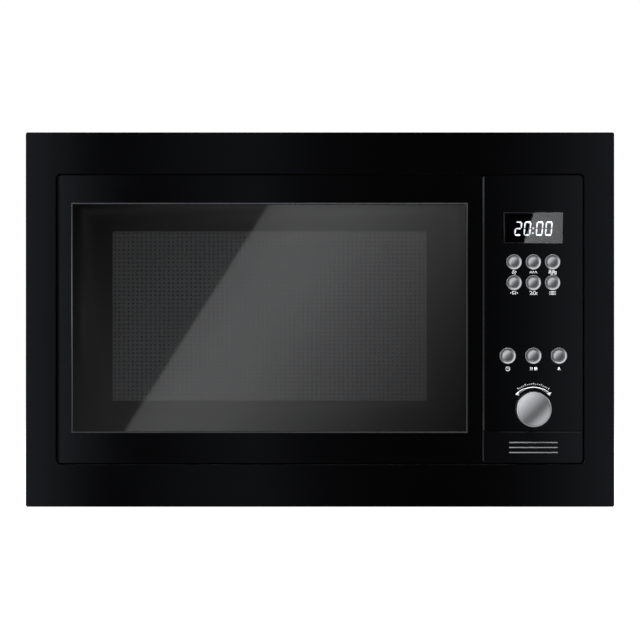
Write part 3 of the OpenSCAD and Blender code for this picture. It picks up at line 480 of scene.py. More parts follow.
def slope_panel(bm):
    slope_edge(bm, Vector((panel_low.x, face_y, 0)), (-1, 0, 0), SIDE_SLOPE, SIDE_DEPTH)


def slope_release(bm):
    slope_edge(bm, Vector((release_low.x, face_y, 0)), (-1, 0, 0), SIDE_SLOPE, SIDE_DEPTH)
    slope_edge(bm, Vector((0, face_y, release_high.z)), (0, 0, 1), TOP_SLOPE, TOP_DEPTH)


door_frame = soften("door_frame", 0.35 * MM)
control_panel = soften("control_panel", 0.35 * MM, before=slope_panel)
release_button = soften("door_release_button", 0.25 * MM, before=slope_release)


def crease(piece, **plane):
    """Keeps the front's edges in this plane sharp, however shallow they are."""
    mesh = piece.data
    axes = {"x": 0, "y": 1, "z": 2}
    for edge in mesh.edges:
        ends = [mesh.vertices[i].co for i in edge.vertices]
        if all(abs(end[axes[a]] - at) < TINY for end in ends for a, at in plane.items()):
            edge.use_edge_sharp = True


for piece in (control_panel, release_button):
    crease(piece, x=panel_low.x + SIDE_SLOPE, y=face_y)
crease(release_button, z=release_high.z - TOP_SLOPE, y=face_y)

# The three lines on the release button are pressed from a pale strip.
release_button.data.materials.append(pale_strip)
line_front = face_y - 0.05 * MM
for polygon in release_button.data.polygons:
    if polygon.center.y < line_front and polygon.normal.y < -0.9:
        polygon.material_index = 1
print("front mouldings:", [triangle_count[p.name] for p in (door_frame, control_panel, release_button)])

# %% [markdown]
# ## Window glass and its printed border
#
# Behind the glass a black border is printed, and the perforated screen shows only through the
# clear field that the border leaves. The border is a ring: a rectangle inset by different widths
# at each side, so it starts as the clear field's edge and is scaled out to the glass's edge.

# %% Window
glass_low, glass_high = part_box("door_glass")
BORDER_SIDE = 43.7 * MM
BORDER_LOWER = 34.8 * MM
BORDER_UPPER = 30.9 * MM
field_low = Vector((glass_low.x + BORDER_SIDE, glass_high.y, glass_low.z + BORDER_LOWER))
field_high = Vector((glass_high.x - BORDER_SIDE, glass_high.y, glass_high.z - BORDER_UPPER))


def upright_grid(bm, low, high, columns=1, rows=1):
    """A flat grid between two corners, facing the front; its depth is low's."""
    size = high - low
    verts = bmesh.ops.create_grid(bm, x_segments=columns, y_segments=rows, size=0.5)["verts"]
    bmesh.ops.rotate(bm, verts=verts, matrix=Matrix.Rotation(math.radians(90), 3, "X"))
    bmesh.ops.scale(bm, verts=verts, vec=(size.x, 1, size.z))
    middle = (low + high) / 2
    bmesh.ops.translate(bm, verts=verts, vec=(middle.x, low.y, middle.z))
    return verts


def spread_rim(bm, low, high):
    """Pulls a new band of faces from a flat grid's rim, out to a wider rectangle."""
    rim = [e for e in bm.edges if e.is_boundary]
    new = bmesh.ops.extrude_edge_only(bm, edges=rim)["geom"]
    new_verts = [g for g in new if isinstance(g, bmesh.types.BMVert)]
    inner_low = Vector(min(v.co[i] for v in new_verts) for i in range(3))
    inner_high = Vector(max(v.co[i] for v in new_verts) for i in range(3))
    for vert in new_verts:
        for axis in (0, 2):
            share = (vert.co[axis] - inner_low[axis]) / (inner_high[axis] - inner_low[axis])
            vert.co[axis] = low[axis] + share * (high[axis] - low[axis])
    return new_verts


def pull_back(bm, edges, depth):
    """A wall from these edges, straight back by depth."""
    wall = bmesh.ops.extrude_edge_only(bm, edges=edges)["geom"]
    bmesh.ops.translate(bm, verts=[g for g in wall if isinstance(g, bmesh.types.BMVert)],
                        vec=(0, depth, 0))


border = bmesh.new()
upright_grid(border, field_low, field_high)
clear_field = list(border.faces)
spread_rim(border, glass_low, glass_high)
bmesh.ops.delete(border, geom=clear_field, context="FACES_ONLY")
bmesh.ops.translate(border, verts=border.verts, vec=(0, 0.02 * MM, 0))
bmesh.ops.recalc_face_normals(border, faces=border.faces)
window_border = make_piece("window_border", border, black_ink, "door")
ink = window_border.modifiers.new("ink", "SOLIDIFY")
ink.thickness = 0.08 * MM
ink.offset = 0

window = soften("door_glass", 0.4 * MM, material=window_glass)

# %% [markdown]
# A thin grey bezel closes the joint between the glass and the frame. It slopes from the frame's
# face down to the glass. Such a slope turns its four sides to four different parts of the room,
# so each of them has its own brightness.

# %% Bezels
GLASS_LAP = 2 * MM


def bezel(name, low, high, width, glass_y, body):
    """A sloping rim just inside a rectangle on the front, with a wall back to the glass."""
    inward = Vector((width, 0, width))
    front = face_y + 0.3 * MM
    drop = width * 0.42
    bm = bmesh.new()
    low, high = Vector((low.x, front + drop, low.z)), Vector((high.x, front + drop, high.z))
    upright_grid(bm, low + inward, high - inward)
    middle_face = list(bm.faces)
    inner_rim = list(bm.edges)
    outer_rim = spread_rim(bm, low, high)
    bmesh.ops.translate(bm, verts=outer_rim, vec=(0, -drop, 0))
    bmesh.ops.delete(bm, geom=middle_face, context="FACES_ONLY")
    bmesh.ops.recalc_face_normals(bm, faces=bm.faces)
    if sum(face.normal.y for face in bm.faces) > 0:
        bmesh.ops.reverse_faces(bm, faces=bm.faces)
    pull_back(bm, inner_rim, glass_y - 0.05 * MM - front - drop)
    piece = make_piece(name, bm, bezel_grey, body)
    wall = piece.modifiers.new("wall", "SOLIDIFY")
    wall.thickness = 0.2 * MM
    wall.offset = -1
    return piece


lap = Vector((GLASS_LAP, 0, GLASS_LAP))
window_bezel = bezel("window_bezel", glass_low + lap, glass_high - lap, 1.4 * MM, glass_low.y, "door")
lens_low, lens_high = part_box("display_window")
lens_bezel = bezel("display_bezel", lens_low + lap, lens_high - lap, 0.9 * MM, face_y + 0.7 * MM,
                   "cabinet")
print("lens opening in mm:", [round(1000 * v, 2) for v in lens_high - lens_low - 2 * lap])

# %% [markdown]
# ## The perforated screen
#
# Microwaves cannot pass holes much smaller than their wavelength, so the window is backed by
# sheet steel with thousands of small holes. Each hole starts as one cell of a grid: the cell is
# inset, the inset square loses its corners, and the eight-sided middle is deleted. That keeps a
# hole to a few faces, which matters when there are nearly three thousand of them.

# %% Perforated screen
screen_low, screen_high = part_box("door_screen")
HOLE_PITCH_X = 4.52 * MM
HOLE_PITCH_Z = 4.17 * MM
HOLE_WIDTH = 1.4 * MM
SCREEN_SHEET = 0.8 * MM
columns = round((field_high.x - field_low.x) / HOLE_PITCH_X)
rows = round((field_high.z - field_low.z) / HOLE_PITCH_Z)

screen = bmesh.new()
upright_grid(screen, Vector((field_low.x, screen_low.y, field_low.z)),
             Vector((field_high.x, screen_low.y, field_high.z)), columns, rows)
cells = list(screen.faces)
spread_rim(screen, screen_low, screen_high)


pull_back(screen, [e for e in screen.edges if e.is_boundary], screen_high.y - screen_low.y)
bmesh.ops.inset_individual(screen, faces=cells, thickness=(HOLE_PITCH_Z - HOLE_WIDTH) / 2,
                           use_even_offset=True)
cell_corners = list({v for cell in cells for v in cell.verts})
bmesh.ops.bevel(screen, geom=cell_corners, offset=0.4 * MM, offset_type="OFFSET", segments=1,
                profile=0.5, affect="VERTICES", material=-1, clamp_overlap=True)
openings = [f for f in screen.faces if len(f.verts) == 8]
bmesh.ops.delete(screen, geom=openings, context="FACES_ONLY")
print("holes:", len(openings), "in", columns, "columns and", rows, "rows")

# %% [markdown]
# The screen's sheet is folded back round the door to form the choke, a channel that keeps the
# microwaves in, and a second fold inside it holds the inner glass. Both are walls pulled from an
# edge. The sheet gets its thickness last, once all the faces point to the front.

# %% Screen thickness
pane_low, pane_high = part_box("inner_glass")
REST = 4 * MM
lip_low = Vector((pane_low.x + REST, screen_low.y + 0.4 * MM, pane_low.z + REST))
lip_high = Vector((pane_high.x - REST, screen_low.y + 0.4 * MM, pane_high.z - REST))
lip = bmesh.new()
upright_grid(lip, lip_low, lip_high)
lip_face = list(lip.faces)
pull_back(lip, list(lip.edges), pane_low.y - lip_low.y)
bmesh.ops.delete(lip, geom=lip_face, context="FACES_ONLY")


def give_thickness(piece, thickness, offset=-1.0):
    """A wall of that thickness, behind the side that the faces look to."""
    wall = piece.modifiers.new("wall", "SOLIDIFY")
    wall.thickness = thickness
    wall.offset = offset
    wall.use_even_offset = True
    return piece


def face_forward(bm):
    """Consistent normals, with the face that looks most along Y looking to the front."""
    bmesh.ops.recalc_face_normals(bm, faces=bm.faces)
    flattest = max(bm.faces, key=lambda f: abs(f.normal.y))
    if flattest.normal.y > 0:
        bmesh.ops.reverse_faces(bm, faces=bm.faces)


face_forward(screen)
door_screen = give_thickness(
    make_piece("perforated_screen", screen, screen_enamel, "door", ("door_screen",)),
    SCREEN_SHEET)
bmesh.ops.recalc_face_normals(lip, faces=lip.faces)
choke_lip = give_thickness(
    make_piece("choke_lip", lip, black_enamel, "door", ("door_screen",)),
    SCREEN_SHEET)
soften("inner_glass", 0.5 * MM, material=inner_glass)
soften("choke_cover", 0.5 * MM, 3)
print("screen triangles before its thickness:", triangle_count["perforated_screen"])

# %% [markdown]
# ## Button rings and caps
#
# A chrome ring and a domed cap are turned shapes: one outline, spun round the button's axis. The
# outline is a list of points given as a radius and a height in front of the panel, with its
# round stretches worked out as arcs. The ring's slope leads down to a narrow dark gap, and the
# cap's dome is steep enough at its rim to catch light from the side.

# %% Turned pieces
def arc(middle, radius, start, end, steps):
    """Points on an arc in (radius, height), with angles in degrees from the radius axis."""
    angles = [math.radians(start + (end - start) * i / steps) for i in range(steps + 1)]
    return [(middle[0] + radius * math.cos(a), middle[1] + radius * math.sin(a)) for a in angles]


def turned(outline, middle, steps=64):
    """A bmesh spun from an outline of (radius, height) in mm, standing on the front's plane."""
    bm = bmesh.new()
    points = [bm.verts.new((r * MM, -h * MM, 0)) for r, h in outline]
    sides = [bm.edges.new(pair) for pair in zip(points, points[1:])]
    bmesh.ops.spin(bm, geom=points + sides, cent=(0, 0, 0), axis=(0, 1, 0), angle=math.tau,
                   steps=steps, use_merge=True)
    bmesh.ops.remove_doubles(bm, verts=bm.verts, dist=0.005 * MM)
    bmesh.ops.recalc_face_normals(bm, faces=bm.faces)
    bmesh.ops.translate(bm, verts=bm.verts, vec=(middle.x, face_y, middle.z))
    return bm


BUTTONS = ("convection", "grill", "microwave", "memory", "combi", "auto_menu",
           "clock", "pause", "start")
COLLAR = 1.2
CAP_GAP = 0.6
RING_WIDTH = 1.95
button_middle = {}
for name in BUTTONS:
    low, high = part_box(f"{name}_button")
    button_middle[name] = (low + high) / 2
    cap = (high.x - low.x) / 2 / MM - COLLAR
    dome = cap * 1.75
    rim_angle = math.degrees(math.acos((cap - 0.35) / dome))
    crown = 1.95 - dome
    cap_outline = [(0, 1.95)] + arc((0, crown), dome, 90, rim_angle, 10)[1:]
    cap_outline += [(cap, cap_outline[-1][1] - 0.35), (cap, -3.4), (cap + COLLAR, -3.4),
                    (cap + COLLAR, -4.6), (cap, -4.6), (cap, -5), (2, -5), (2, -8.8), (0, -8.8)]
    make_piece(f"{name}_cap", turned(cap_outline, button_middle[name]), cap_silver,
               f"{name}_button", (f"{name}_button",))
    inner, outer = cap + CAP_GAP, cap + CAP_GAP + RING_WIDTH
    ring_outline = [(inner, -3), (inner, 0.0)]
    ring_outline += arc((outer - 0.4, 0.4), 0.4, 140, 0, 8)
    ring_outline += [(outer, 0), (inner + 0.78, 0), (inner + 0.78, -3), (inner, -3)]
    make_piece(f"{name}_ring", turned(ring_outline, button_middle[name]), bright_steel,
               "cabinet", ("button_rings",))
print("caps and rings:", 2 * len(BUTTONS), " triangles in a cap:", triangle_count["start_cap"])

# %% [markdown]
# ## The knob
#
# The knob is spun from aluminium. Its face is a shallow crown, so that the satin surface shades
# from light to dark across it, and its shoulder is round and brighter. Behind, it is hollow with
# a hub on the encoder's shaft, because it can be seen from the side.

# %% Knob
knob_radius = (knob_high.x - knob_low.x) / 2 / MM
knob_height = (face_y - knob_low.y) / MM
SHOULDER = 2.2
CROWN = 2.2
face_radius = knob_radius - SHOULDER * 0.75
crown_radius = (face_radius ** 2 + CROWN ** 2) / (2 * CROWN)
edge_angle = math.degrees(math.acos(face_radius / crown_radius))
shoulder_middle = (knob_radius - SHOULDER, knob_height - CROWN - SHOULDER * 0.9)
knob_outline = [(0, knob_height)]
knob_outline += arc((0, knob_height - crown_radius), crown_radius, 90, edge_angle, 14)[1:]
knob_outline += arc(shoulder_middle, SHOULDER, 66, 0, 7)
knob_outline += [(knob_radius, 3.2), (knob_radius - 0.35, 2.9), (knob_radius - 0.35, 2.4),
                 (knob_radius, 2.1), (knob_radius - 0.3, 0.6), (knob_radius - 3, 0.6),
                 (knob_radius - 3, knob_height - 6), (6, knob_height - 6), (6, 1.5), (3.05, 1.5),
                 (3.05, knob_height - 5), (0, knob_height - 5)]
knob = make_piece("spun_knob", turned(knob_outline, knob_middle, 128), satin_silver,
                  "knob", ("knob",))
print("knob radius and height in mm:", round(knob_radius, 2), round(knob_height, 2))

# %% [markdown]
# ## The display
#
# A smoked lens lies over the display, and the lit segments stand just behind it. Each segment is
# a hexagon pulled long. The digits lean, which is one shear of the whole group.

# %% Display
lens = soften("display_window", 0.3 * MM, 2, material=display_black)
lens_middle = (lens_low + lens_high) / 2
module_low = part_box("display_module")[0]
DIGIT_W, DIGIT_H, DIGIT_PITCH = 5.7 * MM, 13.0 * MM, 9.25 * MM
COLON_GAP = 6.15 * MM
STROKE = 1.45 * MM
LEAN = 0.09
SEGMENTS = {"2": "abged", "0": "abcdef"}
segment_place = {"a": (0, 1, 0), "g": (0, 0, 0), "d": (0, -1, 0), "b": (0.5, 0.5, 90),
                 "c": (0.5, -0.5, 90), "f": (-0.5, 0.5, 90), "e": (-0.5, -0.5, 90)}


def hexagon_bar(bm, x, z, length, width, angle):
    """A flat bar with pointed ends; x and z are its middle on the front's plane."""
    bar = bmesh.ops.create_circle(bm, cap_ends=True, segments=6, radius=width / math.sqrt(3))["verts"]
    for vert in bar:
        vert.co.x += math.copysign((length - 2 * width / math.sqrt(3)) / 2, vert.co.x)
    bmesh.ops.rotate(bm, verts=bar, matrix=Matrix.Rotation(math.radians(angle), 3, "Z"))
    bmesh.ops.translate(bm, verts=bar, vec=(x, z, 0))


digits = bmesh.new()
digit_x = [0.3 * MM + x for x in (-COLON_GAP - DIGIT_PITCH, -COLON_GAP, COLON_GAP,
                                  COLON_GAP + DIGIT_PITCH)]
for character, middle_x in zip("2000", digit_x):
    for segment in SEGMENTS[character]:
        across, up, angle = segment_place[segment]
        length = DIGIT_W - 0.7 * MM if angle == 0 else DIGIT_H / 2 - 0.7 * MM
        hexagon_bar(digits, middle_x + across * DIGIT_W, up * DIGIT_H / 2, length, STROKE, angle)
for height in (0.4 * MM, -4.6 * MM):
    dot = bmesh.ops.create_circle(digits, cap_ends=True, segments=16, radius=0.85 * MM)["verts"]
    bmesh.ops.translate(digits, verts=dot, vec=(0, height, 0))
bmesh.ops.transform(digits, verts=digits.verts, matrix=Matrix(((1, LEAN, 0), (0, 1, 0), (0, 0, 1))))


def stand_up(bm, middle, depth):
    """Turns what was drawn flat in X and Y upright, with its middle at that place."""
    bmesh.ops.rotate(bm, verts=bm.verts, matrix=Matrix.Rotation(math.radians(90), 3, "X"))
    bmesh.ops.translate(bm, verts=bm.verts, vec=(middle.x, depth, middle.z))
    face_forward(bm)


stand_up(digits, lens_middle - Vector((0, 0, 0.7 * MM)), module_low.y - 0.12 * MM)
display_digits = give_thickness(
    make_piece("display_digits", digits, lit_segment, "cabinet"), 0.1 * MM)
print("lit segments and dots:", len(display_digits.data.polygons))

# %% [markdown]
# ## Pictograms on the panel
#
# White ink names the buttons. The signs are pictures, so that they say the same in any language:
# a fan for hot air, a zigzag for the grill, waves for microwaves, a marked page for the memory,
# waves over a zigzag for both, lines of a list for the menu, a clock, a pause and a start sign.
# Each sign is put together from bars, arcs and discs. They are drawn flat, then stood up.

# %% Drawing in ink
ink = bmesh.new()


def place_flat(verts, x, z, angle=0):
    bmesh.ops.rotate(ink, verts=verts, matrix=Matrix.Rotation(math.radians(angle), 3, "Z"))
    bmesh.ops.translate(ink, verts=verts, vec=(x, z, 0))


def ink_bar(x, z, length, width, angle=0):
    verts = bmesh.ops.create_grid(ink, x_segments=1, y_segments=1, size=0.5)["verts"]
    bmesh.ops.scale(ink, verts=verts, vec=(length, width, 1))
    place_flat(verts, x, z, angle)


def ink_disc(x, z, radius, corners=20, angle=0):
    verts = bmesh.ops.create_circle(ink, cap_ends=True, segments=corners, radius=radius)["verts"]
    place_flat(verts, x, z, angle)


def ink_arc(x, z, radius, width, start, end):
    """A curved line of ink, from one angle to another."""
    near = ink.verts.new((x + radius - width / 2, z, 0))
    far = ink.verts.new((x + radius + width / 2, z, 0))
    middle = (x, z, 0)
    line = [near, far, ink.edges.new((near, far))]
    bmesh.ops.rotate(ink, verts=[near, far], cent=middle,
                     matrix=Matrix.Rotation(math.radians(start), 3, "Z"))
    full = abs(end - start) >= 360
    bmesh.ops.spin(ink, geom=line, cent=middle, axis=(0, 0, 1), angle=math.radians(end - start),
                   steps=max(6, round(abs(end - start) / 10)), use_merge=full)


# %% [markdown]
# A wave is a row of half circles, one up and one down. A zigzag is a row of bars that lean one
# way and the other. Both take a width and the number of swings, so one function serves the
# plain sign and the smaller one in the combined sign.

# %% Signs
LINE = 0.55 * MM


def waves(x, z, width, swings, rows=1, gap=1.3 * MM):
    radius = width / swings / 2
    for row in range(rows):
        level = z + (row - (rows - 1) / 2) * gap
        for swing in range(swings):
            middle = x - width / 2 + radius * (2 * swing + 1)
            start = 0 if swing % 2 == 0 else 180
            ink_arc(middle, level, radius, LINE, start, start + 180)


def zigzag(x, z, width, height, swings):
    step = width / swings
    slope = math.degrees(math.atan2(height, step))
    for swing in range(swings):
        middle = x - width / 2 + step * (swing + 0.5)
        ink_bar(middle, z, math.hypot(step, height) + LINE * 0.4, LINE,
                slope if swing % 2 == 0 else -slope)


def fan_sign(x, z):
    ink_disc(x, z, 0.45 * MM)
    for blade in range(4):
        turn = math.radians(90 * blade + 20)
        ink_arc(x + 1.25 * MM * math.cos(turn), z + 1.25 * MM * math.sin(turn),
                0.75 * MM, LINE, 90 * blade - 60, 90 * blade + 150)


def memory_sign(x, z):
    for side in (-1, 1):
        ink_bar(x + side * 1.5 * MM, z, LINE, 3.6 * MM)
    ink_bar(x, z + 1.55 * MM, 3 * MM, LINE)
    zigzag(x, z - 1.1 * MM, 3 * MM, 1.3 * MM, 2)
    for dot in (-1, 1):
        ink_disc(x + dot * 3.3 * MM, z, 0.55 * MM)


def list_sign(x, z):
    for row in (-1, 0, 1):
        ink_disc(x - 3 * MM, z + row * 1.4 * MM, 0.42 * MM)
        ink_bar(x + 0.6 * MM, z + row * 1.4 * MM, 5.4 * MM, LINE)


def clock_sign(x, z):
    ink_arc(x, z, 1.95 * MM, LINE, 0, 360)
    ink_bar(x, z + 0.55 * MM, LINE * 0.8, 1.3 * MM)
    ink_bar(x + 0.45 * MM, z, 1.1 * MM, LINE * 0.8)


def pause_sign(x, z):
    for side in (-1, 1):
        ink_bar(x + side * 0.85 * MM - 2.2 * MM, z, 0.85 * MM, 3.4 * MM)
    ink_bar(x + 2.3 * MM, z, 3.1 * MM, 3.1 * MM)


def start_sign(x, z):
    ink_disc(x, z, 2.3 * MM, corners=3)


def grill_sign(x, z):
    zigzag(x, z, SIGN_WIDTH, 2.2 * MM, 6)


def microwave_sign(x, z):
    waves(x, z, SIGN_WIDTH, 4, 3)


def combi_sign(x, z):
    waves(x, z + 0.9 * MM, SIGN_WIDTH, 4)
    zigzag(x, z - 1.2 * MM, SIGN_WIDTH, 1.5 * MM, 6)


SIGN_WIDTH = 7.5 * MM
signs = {"convection": fan_sign, "grill": grill_sign, "microwave": microwave_sign,
         "memory": memory_sign, "combi": combi_sign, "auto_menu": list_sign,
         "clock": clock_sign, "pause": pause_sign, "start": start_sign}
DROP_SMALL, DROP_LARGE = 10.4 * MM, 13.2 * MM
for name, draw in signs.items():
    drop = DROP_LARGE if name in ("clock", "pause", "start") else DROP_SMALL
    draw(button_middle[name].x - knob_middle.x, button_middle[name].z - knob_middle.z - drop)
print("faces of ink in the signs:", len(ink.faces))

# %% [markdown]
# Above the knob, a double-headed arrow says that it turns both ways. Over it runs a scale of
# fine ticks, long and short in turn, like the marks round a dial.

# %% Arrow and ticks round the knob
ARROW_RADIUS, ARROW_HALF, ARROW_LINE = 22.2 * MM, 47, 1.0 * MM
ink_arc(0, 0, ARROW_RADIUS, ARROW_LINE, 90 - ARROW_HALF + 5, 90 + ARROW_HALF - 5)
for side in (-1, 1):
    ink_arc(0, 0, ARROW_RADIUS, 2 * ARROW_LINE, 90 + side * 24, 90 + side * (ARROW_HALF - 5))
    turn = math.radians(90 + side * (ARROW_HALF - 1))
    ink_disc(ARROW_RADIUS * math.cos(turn), ARROW_RADIUS * math.sin(turn), 2.5 * MM, corners=3,
             angle=90 + side * (ARROW_HALF + 88))
TICKS = 17
for tick in range(TICKS):
    turn = 90 + (tick - (TICKS - 1) / 2) * 4.6
    length = 2.2 * MM if tick % 4 == 0 else 1.3 * MM
    reach = 24.6 * MM + length / 2
    ink_bar(reach * math.cos(math.radians(turn)), reach * math.sin(math.radians(turn)),
            length, 0.5 * MM, turn)
stand_up(ink, knob_middle, face_y - 0.04 * MM)
panel_print = give_thickness(
    make_piece("panel_signs", ink, white_ink, "cabinet"), 0.04 * MM)
print("triangles of ink:", triangle_count["panel_signs"])

# %% [markdown]
# ## The latch spring
#
# A coil is a circle of wire that is spun round the coil's axis and lifted a little at each step.
# The spin operator does both at once, and its ends are closed with flat caps.

# %% Latch spring
spring_low, spring_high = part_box("latch_spring")
WIRE = 0.35 * MM
TURNS = 7
coil_radius = (spring_high.x - spring_low.x) / 2 - WIRE
coil_steps = 28 * TURNS
coil_rise = spring_high.z - spring_low.z - 2 * WIRE
spring = bmesh.new()
wire_end = bmesh.ops.create_circle(spring, cap_ends=True, segments=10, radius=WIRE)["verts"]
bmesh.ops.rotate(spring, verts=wire_end, matrix=Matrix.Rotation(math.radians(90), 3, "X"))
bmesh.ops.translate(spring, verts=wire_end, vec=(coil_radius, 0, 0))
bmesh.ops.spin(spring, geom=list(spring.faces), cent=(0, 0, 0), axis=(0, 0, 1),
               dvec=(0, 0, coil_rise / coil_steps), angle=math.tau * TURNS, steps=coil_steps)
bmesh.ops.recalc_face_normals(spring, faces=spring.faces)
bmesh.ops.translate(spring, verts=spring.verts,
                    vec=((spring_low.x + spring_high.x) / 2, (spring_low.y + spring_high.y) / 2,
                         spring_low.z + WIRE))
make_piece("wound_latch_spring", spring, bright_steel, "door", ("latch_spring",))
print("spring triangles:", triangle_count["wound_latch_spring"])

# %% [markdown]
# ## The other parts
#
# Parts that can be seen, from outside or through the open door, get rounded edges as the front
# did. The works deep inside keep their working shape and take a finish from the table of slots.
# A wide sheet's edge is bent more softly than a cut one's, so each part has its own width.

# %% Parts with rounded edges
EDGE_WIDTHS = {
    "mounting_brackets": 0.4, "front_plate": 0.3, "cavity_liner": 0.3, "outer_cover": 0.35,
    "rear_panel": 0.3, "base_plate": 0.3, "rubber_feet": 0.6, "cord_gland": 0.5,
    "case_screws": 0.25, "hinge_brackets": 0.3, "hinge_pins": 0.3, "waveguide_cover": 0.2,
    "grill_element": 0.3, "cavity_lamp": 0.3, "interlock_bracket": 0.3, "door_latch": 0.4,
    "turntable_coupler": 0.4, "roller_ring": 0.5, "roller_1": 0.6, "roller_2": 0.6,
    "roller_3": 0.6, "cooling_fan": 0.3, "fan_shroud": 0.4, "release_lever": 0.4,
    "encoder_shaft": 0.3,
}
for node, width in EDGE_WIDTHS.items():
    soften(node, width * MM)
soften("turntable_tray", 0.6 * MM, 3, material=clear_glass)
print("rounded parts:", len(EDGE_WIDTHS) + 1, " triangles so far:", sum(triangle_count.values()))

# %% Finishes for the parts that keep their shape
kept = [n for n, node in frame["nodes"].items() if not node.hide_render]
for name in kept:
    part = frame["nodes"][name]
    if not part.data.materials:
        part.data.materials.append(None)
    for index in range(len(part.data.materials)):
        part.data.materials[index] = finishes[slot_of_node[name]]
print("parts that keep their shape:", len(kept))

# %% [markdown]
# ## The studio
#
# The floor is plain and pale, and so pale that it meets the white surroundings without a line.
# It does not show in reflections: a black front would mirror it, and a photographer would cover
# it with black cloth for the same reason.

# %% Floor and surroundings
studio = bmesh.new()
bmesh.ops.create_grid(studio, x_segments=1, y_segments=1, size=30)
floor_mesh = bpy.data.meshes.new("floor")
studio.to_mesh(floor_mesh)
studio.free()
floor = bpy.data.objects.new("floor", floor_mesh)
scene.collection.objects.link(floor)
floor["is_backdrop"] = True
floor.visible_glossy = False
pale_floor = finish("pale_floor", (0.3, 0.3, 0.3), 0.9)
surface_of(pale_floor).inputs["Emission Color"].default_value = (1, 1, 1, 1)
surface_of(pale_floor).inputs["Emission Strength"].default_value = 0.9
floor_mesh.materials.append(pale_floor)
floor.visible_diffuse = False
floor.visible_shadow = False

world = bpy.data.worlds.new("studio")
world.use_nodes = True
scene.world = world
sky = world.node_tree.nodes["Background"]
sky.inputs["Color"].default_value = (1, 1, 1, 1)
seen = world.node_tree.nodes.new("ShaderNodeBackground")
seen.inputs["Color"].default_value = (1, 1, 1, 1)
seen.inputs["Strength"].default_value = 1.05
direction = world.node_tree.nodes.new("ShaderNodeTexCoord")
along = world.node_tree.nodes.new("ShaderNodeSeparateXYZ")
dimmer = world.node_tree.nodes.new("ShaderNodeMapRange")
dimmer.interpolation_type = "SMOOTHSTEP"
for socket, number in zip(("From Min", "From Max", "To Min", "To Max"), (-0.93, -0.45, 0.015, 0.42)):
    dimmer.inputs[socket].default_value = number
path = world.node_tree.nodes.new("ShaderNodeLightPath")
chosen = world.node_tree.nodes.new("ShaderNodeMixShader")
tree = world.node_tree.links
tree.new(direction.outputs["Generated"], along.inputs["Vector"])
tree.new(along.outputs["Y"], dimmer.inputs["Value"])
tree.new(dimmer.outputs["Result"], sky.inputs["Strength"])
tree.new(path.outputs["Is Camera Ray"], chosen.inputs["Fac"])
tree.new(sky.outputs["Background"], chosen.inputs[1])
tree.new(seen.outputs["Background"], chosen.inputs[2])
tree.new(chosen.outputs["Shader"], world.node_tree.nodes["World Output"].inputs["Surface"])
print("the surroundings are dark towards the camera, so that the black front stays black")

# %% [markdown]
# ## Lights
#
# Soft lamps stand to the sides, above and behind. Two more shine from the front, one on the
# printed signs alone and one on the screen alone: light linking does in the scene what small
# flags and mirrors do in a studio. The silver parts get no lamp, because a lamp makes a hard spot
# on a dome.

# %% Lamps
oven_middle = (cad_low + cad_high) / 2
silver_parts = ([bpy.data.objects[f"{b}_cap"] for b in BUTTONS]
                + [bpy.data.objects[f"{b}_ring"] for b in BUTTONS] + [knob])
no_silver = bpy.data.collections.new("all_but_silver")
for part in silver_parts:
    no_silver.objects.link(part)
for member in no_silver.collection_objects:
    member.light_linking.link_state = "EXCLUDE"


def group_of(name, parts):
    group = bpy.data.collections.new(name)
    for part in parts:
        group.objects.link(part)
    return group


def lamp(name, place, size, power, aim, receivers):
    """A soft square lamp, turned to its aim, that shines only on its receivers."""
    data = bpy.data.lights.new(name, "AREA")
    data.size = size
    data.energy = power
    light = bpy.data.objects.new(name, data)
    light.location = place
    light.rotation_euler = (Vector(aim) - Vector(place)).to_track_quat("-Z", "Y").to_euler()
    light.visible_camera = False
    scene.collection.objects.link(light)
    light.light_linking.receiver_collection = receivers
    return light


lamp("left_lamp", (-2.6, -1.3, 1.5), 1.2, 45, oven_middle, no_silver)
lamp("right_lamp", (2.6, -1.3, 1.4), 1.2, 30, oven_middle, no_silver)
lamp("top_lamp", (0, 0.2, 2.8), 1.6, 55, oven_middle, no_silver)
lamp("rear_left_lamp", (-2.0, 2.6, 1.6), 1.4, 40, oven_middle, no_silver)
lamp("rear_right_lamp", (2.2, 2.4, 1.2), 1.4, 30, oven_middle, no_silver)
lamp("sign_lamp", (-0.3, -1.6, 1.6), 0.6, 55, knob_middle,
     group_of("signs", [panel_print, release_button]))
screen_lamp = lamp("screen_lamp", (-0.6, -2.0, 1.4), 0.8, 25, (-0.05, -0.2, 0.19),
                   group_of("screen", [door_screen]))
screen_lamp.light_linking.blocker_collection = group_of("screen_blockers", [door_frame])
print("lamps:", len(bpy.data.lights))

# %% [markdown]
# ## Scrims
#
# A glossy black surface needs something to mirror. A scrim is a sheet of glowing cloth in front
# of the oven, which only reflections see. Each group of pieces has its own: the trim, the front,
# the glass, the lens, the rims and the silver parts. Rays pass through a scrim after picking up
# its glow, so they can hang one behind another, and only the rearmost is closed. A point of the
# front mirrors a point of the scrim that lies further from the camera's axis, by a factor that
# follows from the two distances. The cloth is pearl, or a bluer shade for the black pieces.

# %% Scrim helper
PEARL, EVENING_BLUE = (0.975, 0.985, 1.0), (0.82, 0.865, 1.0)


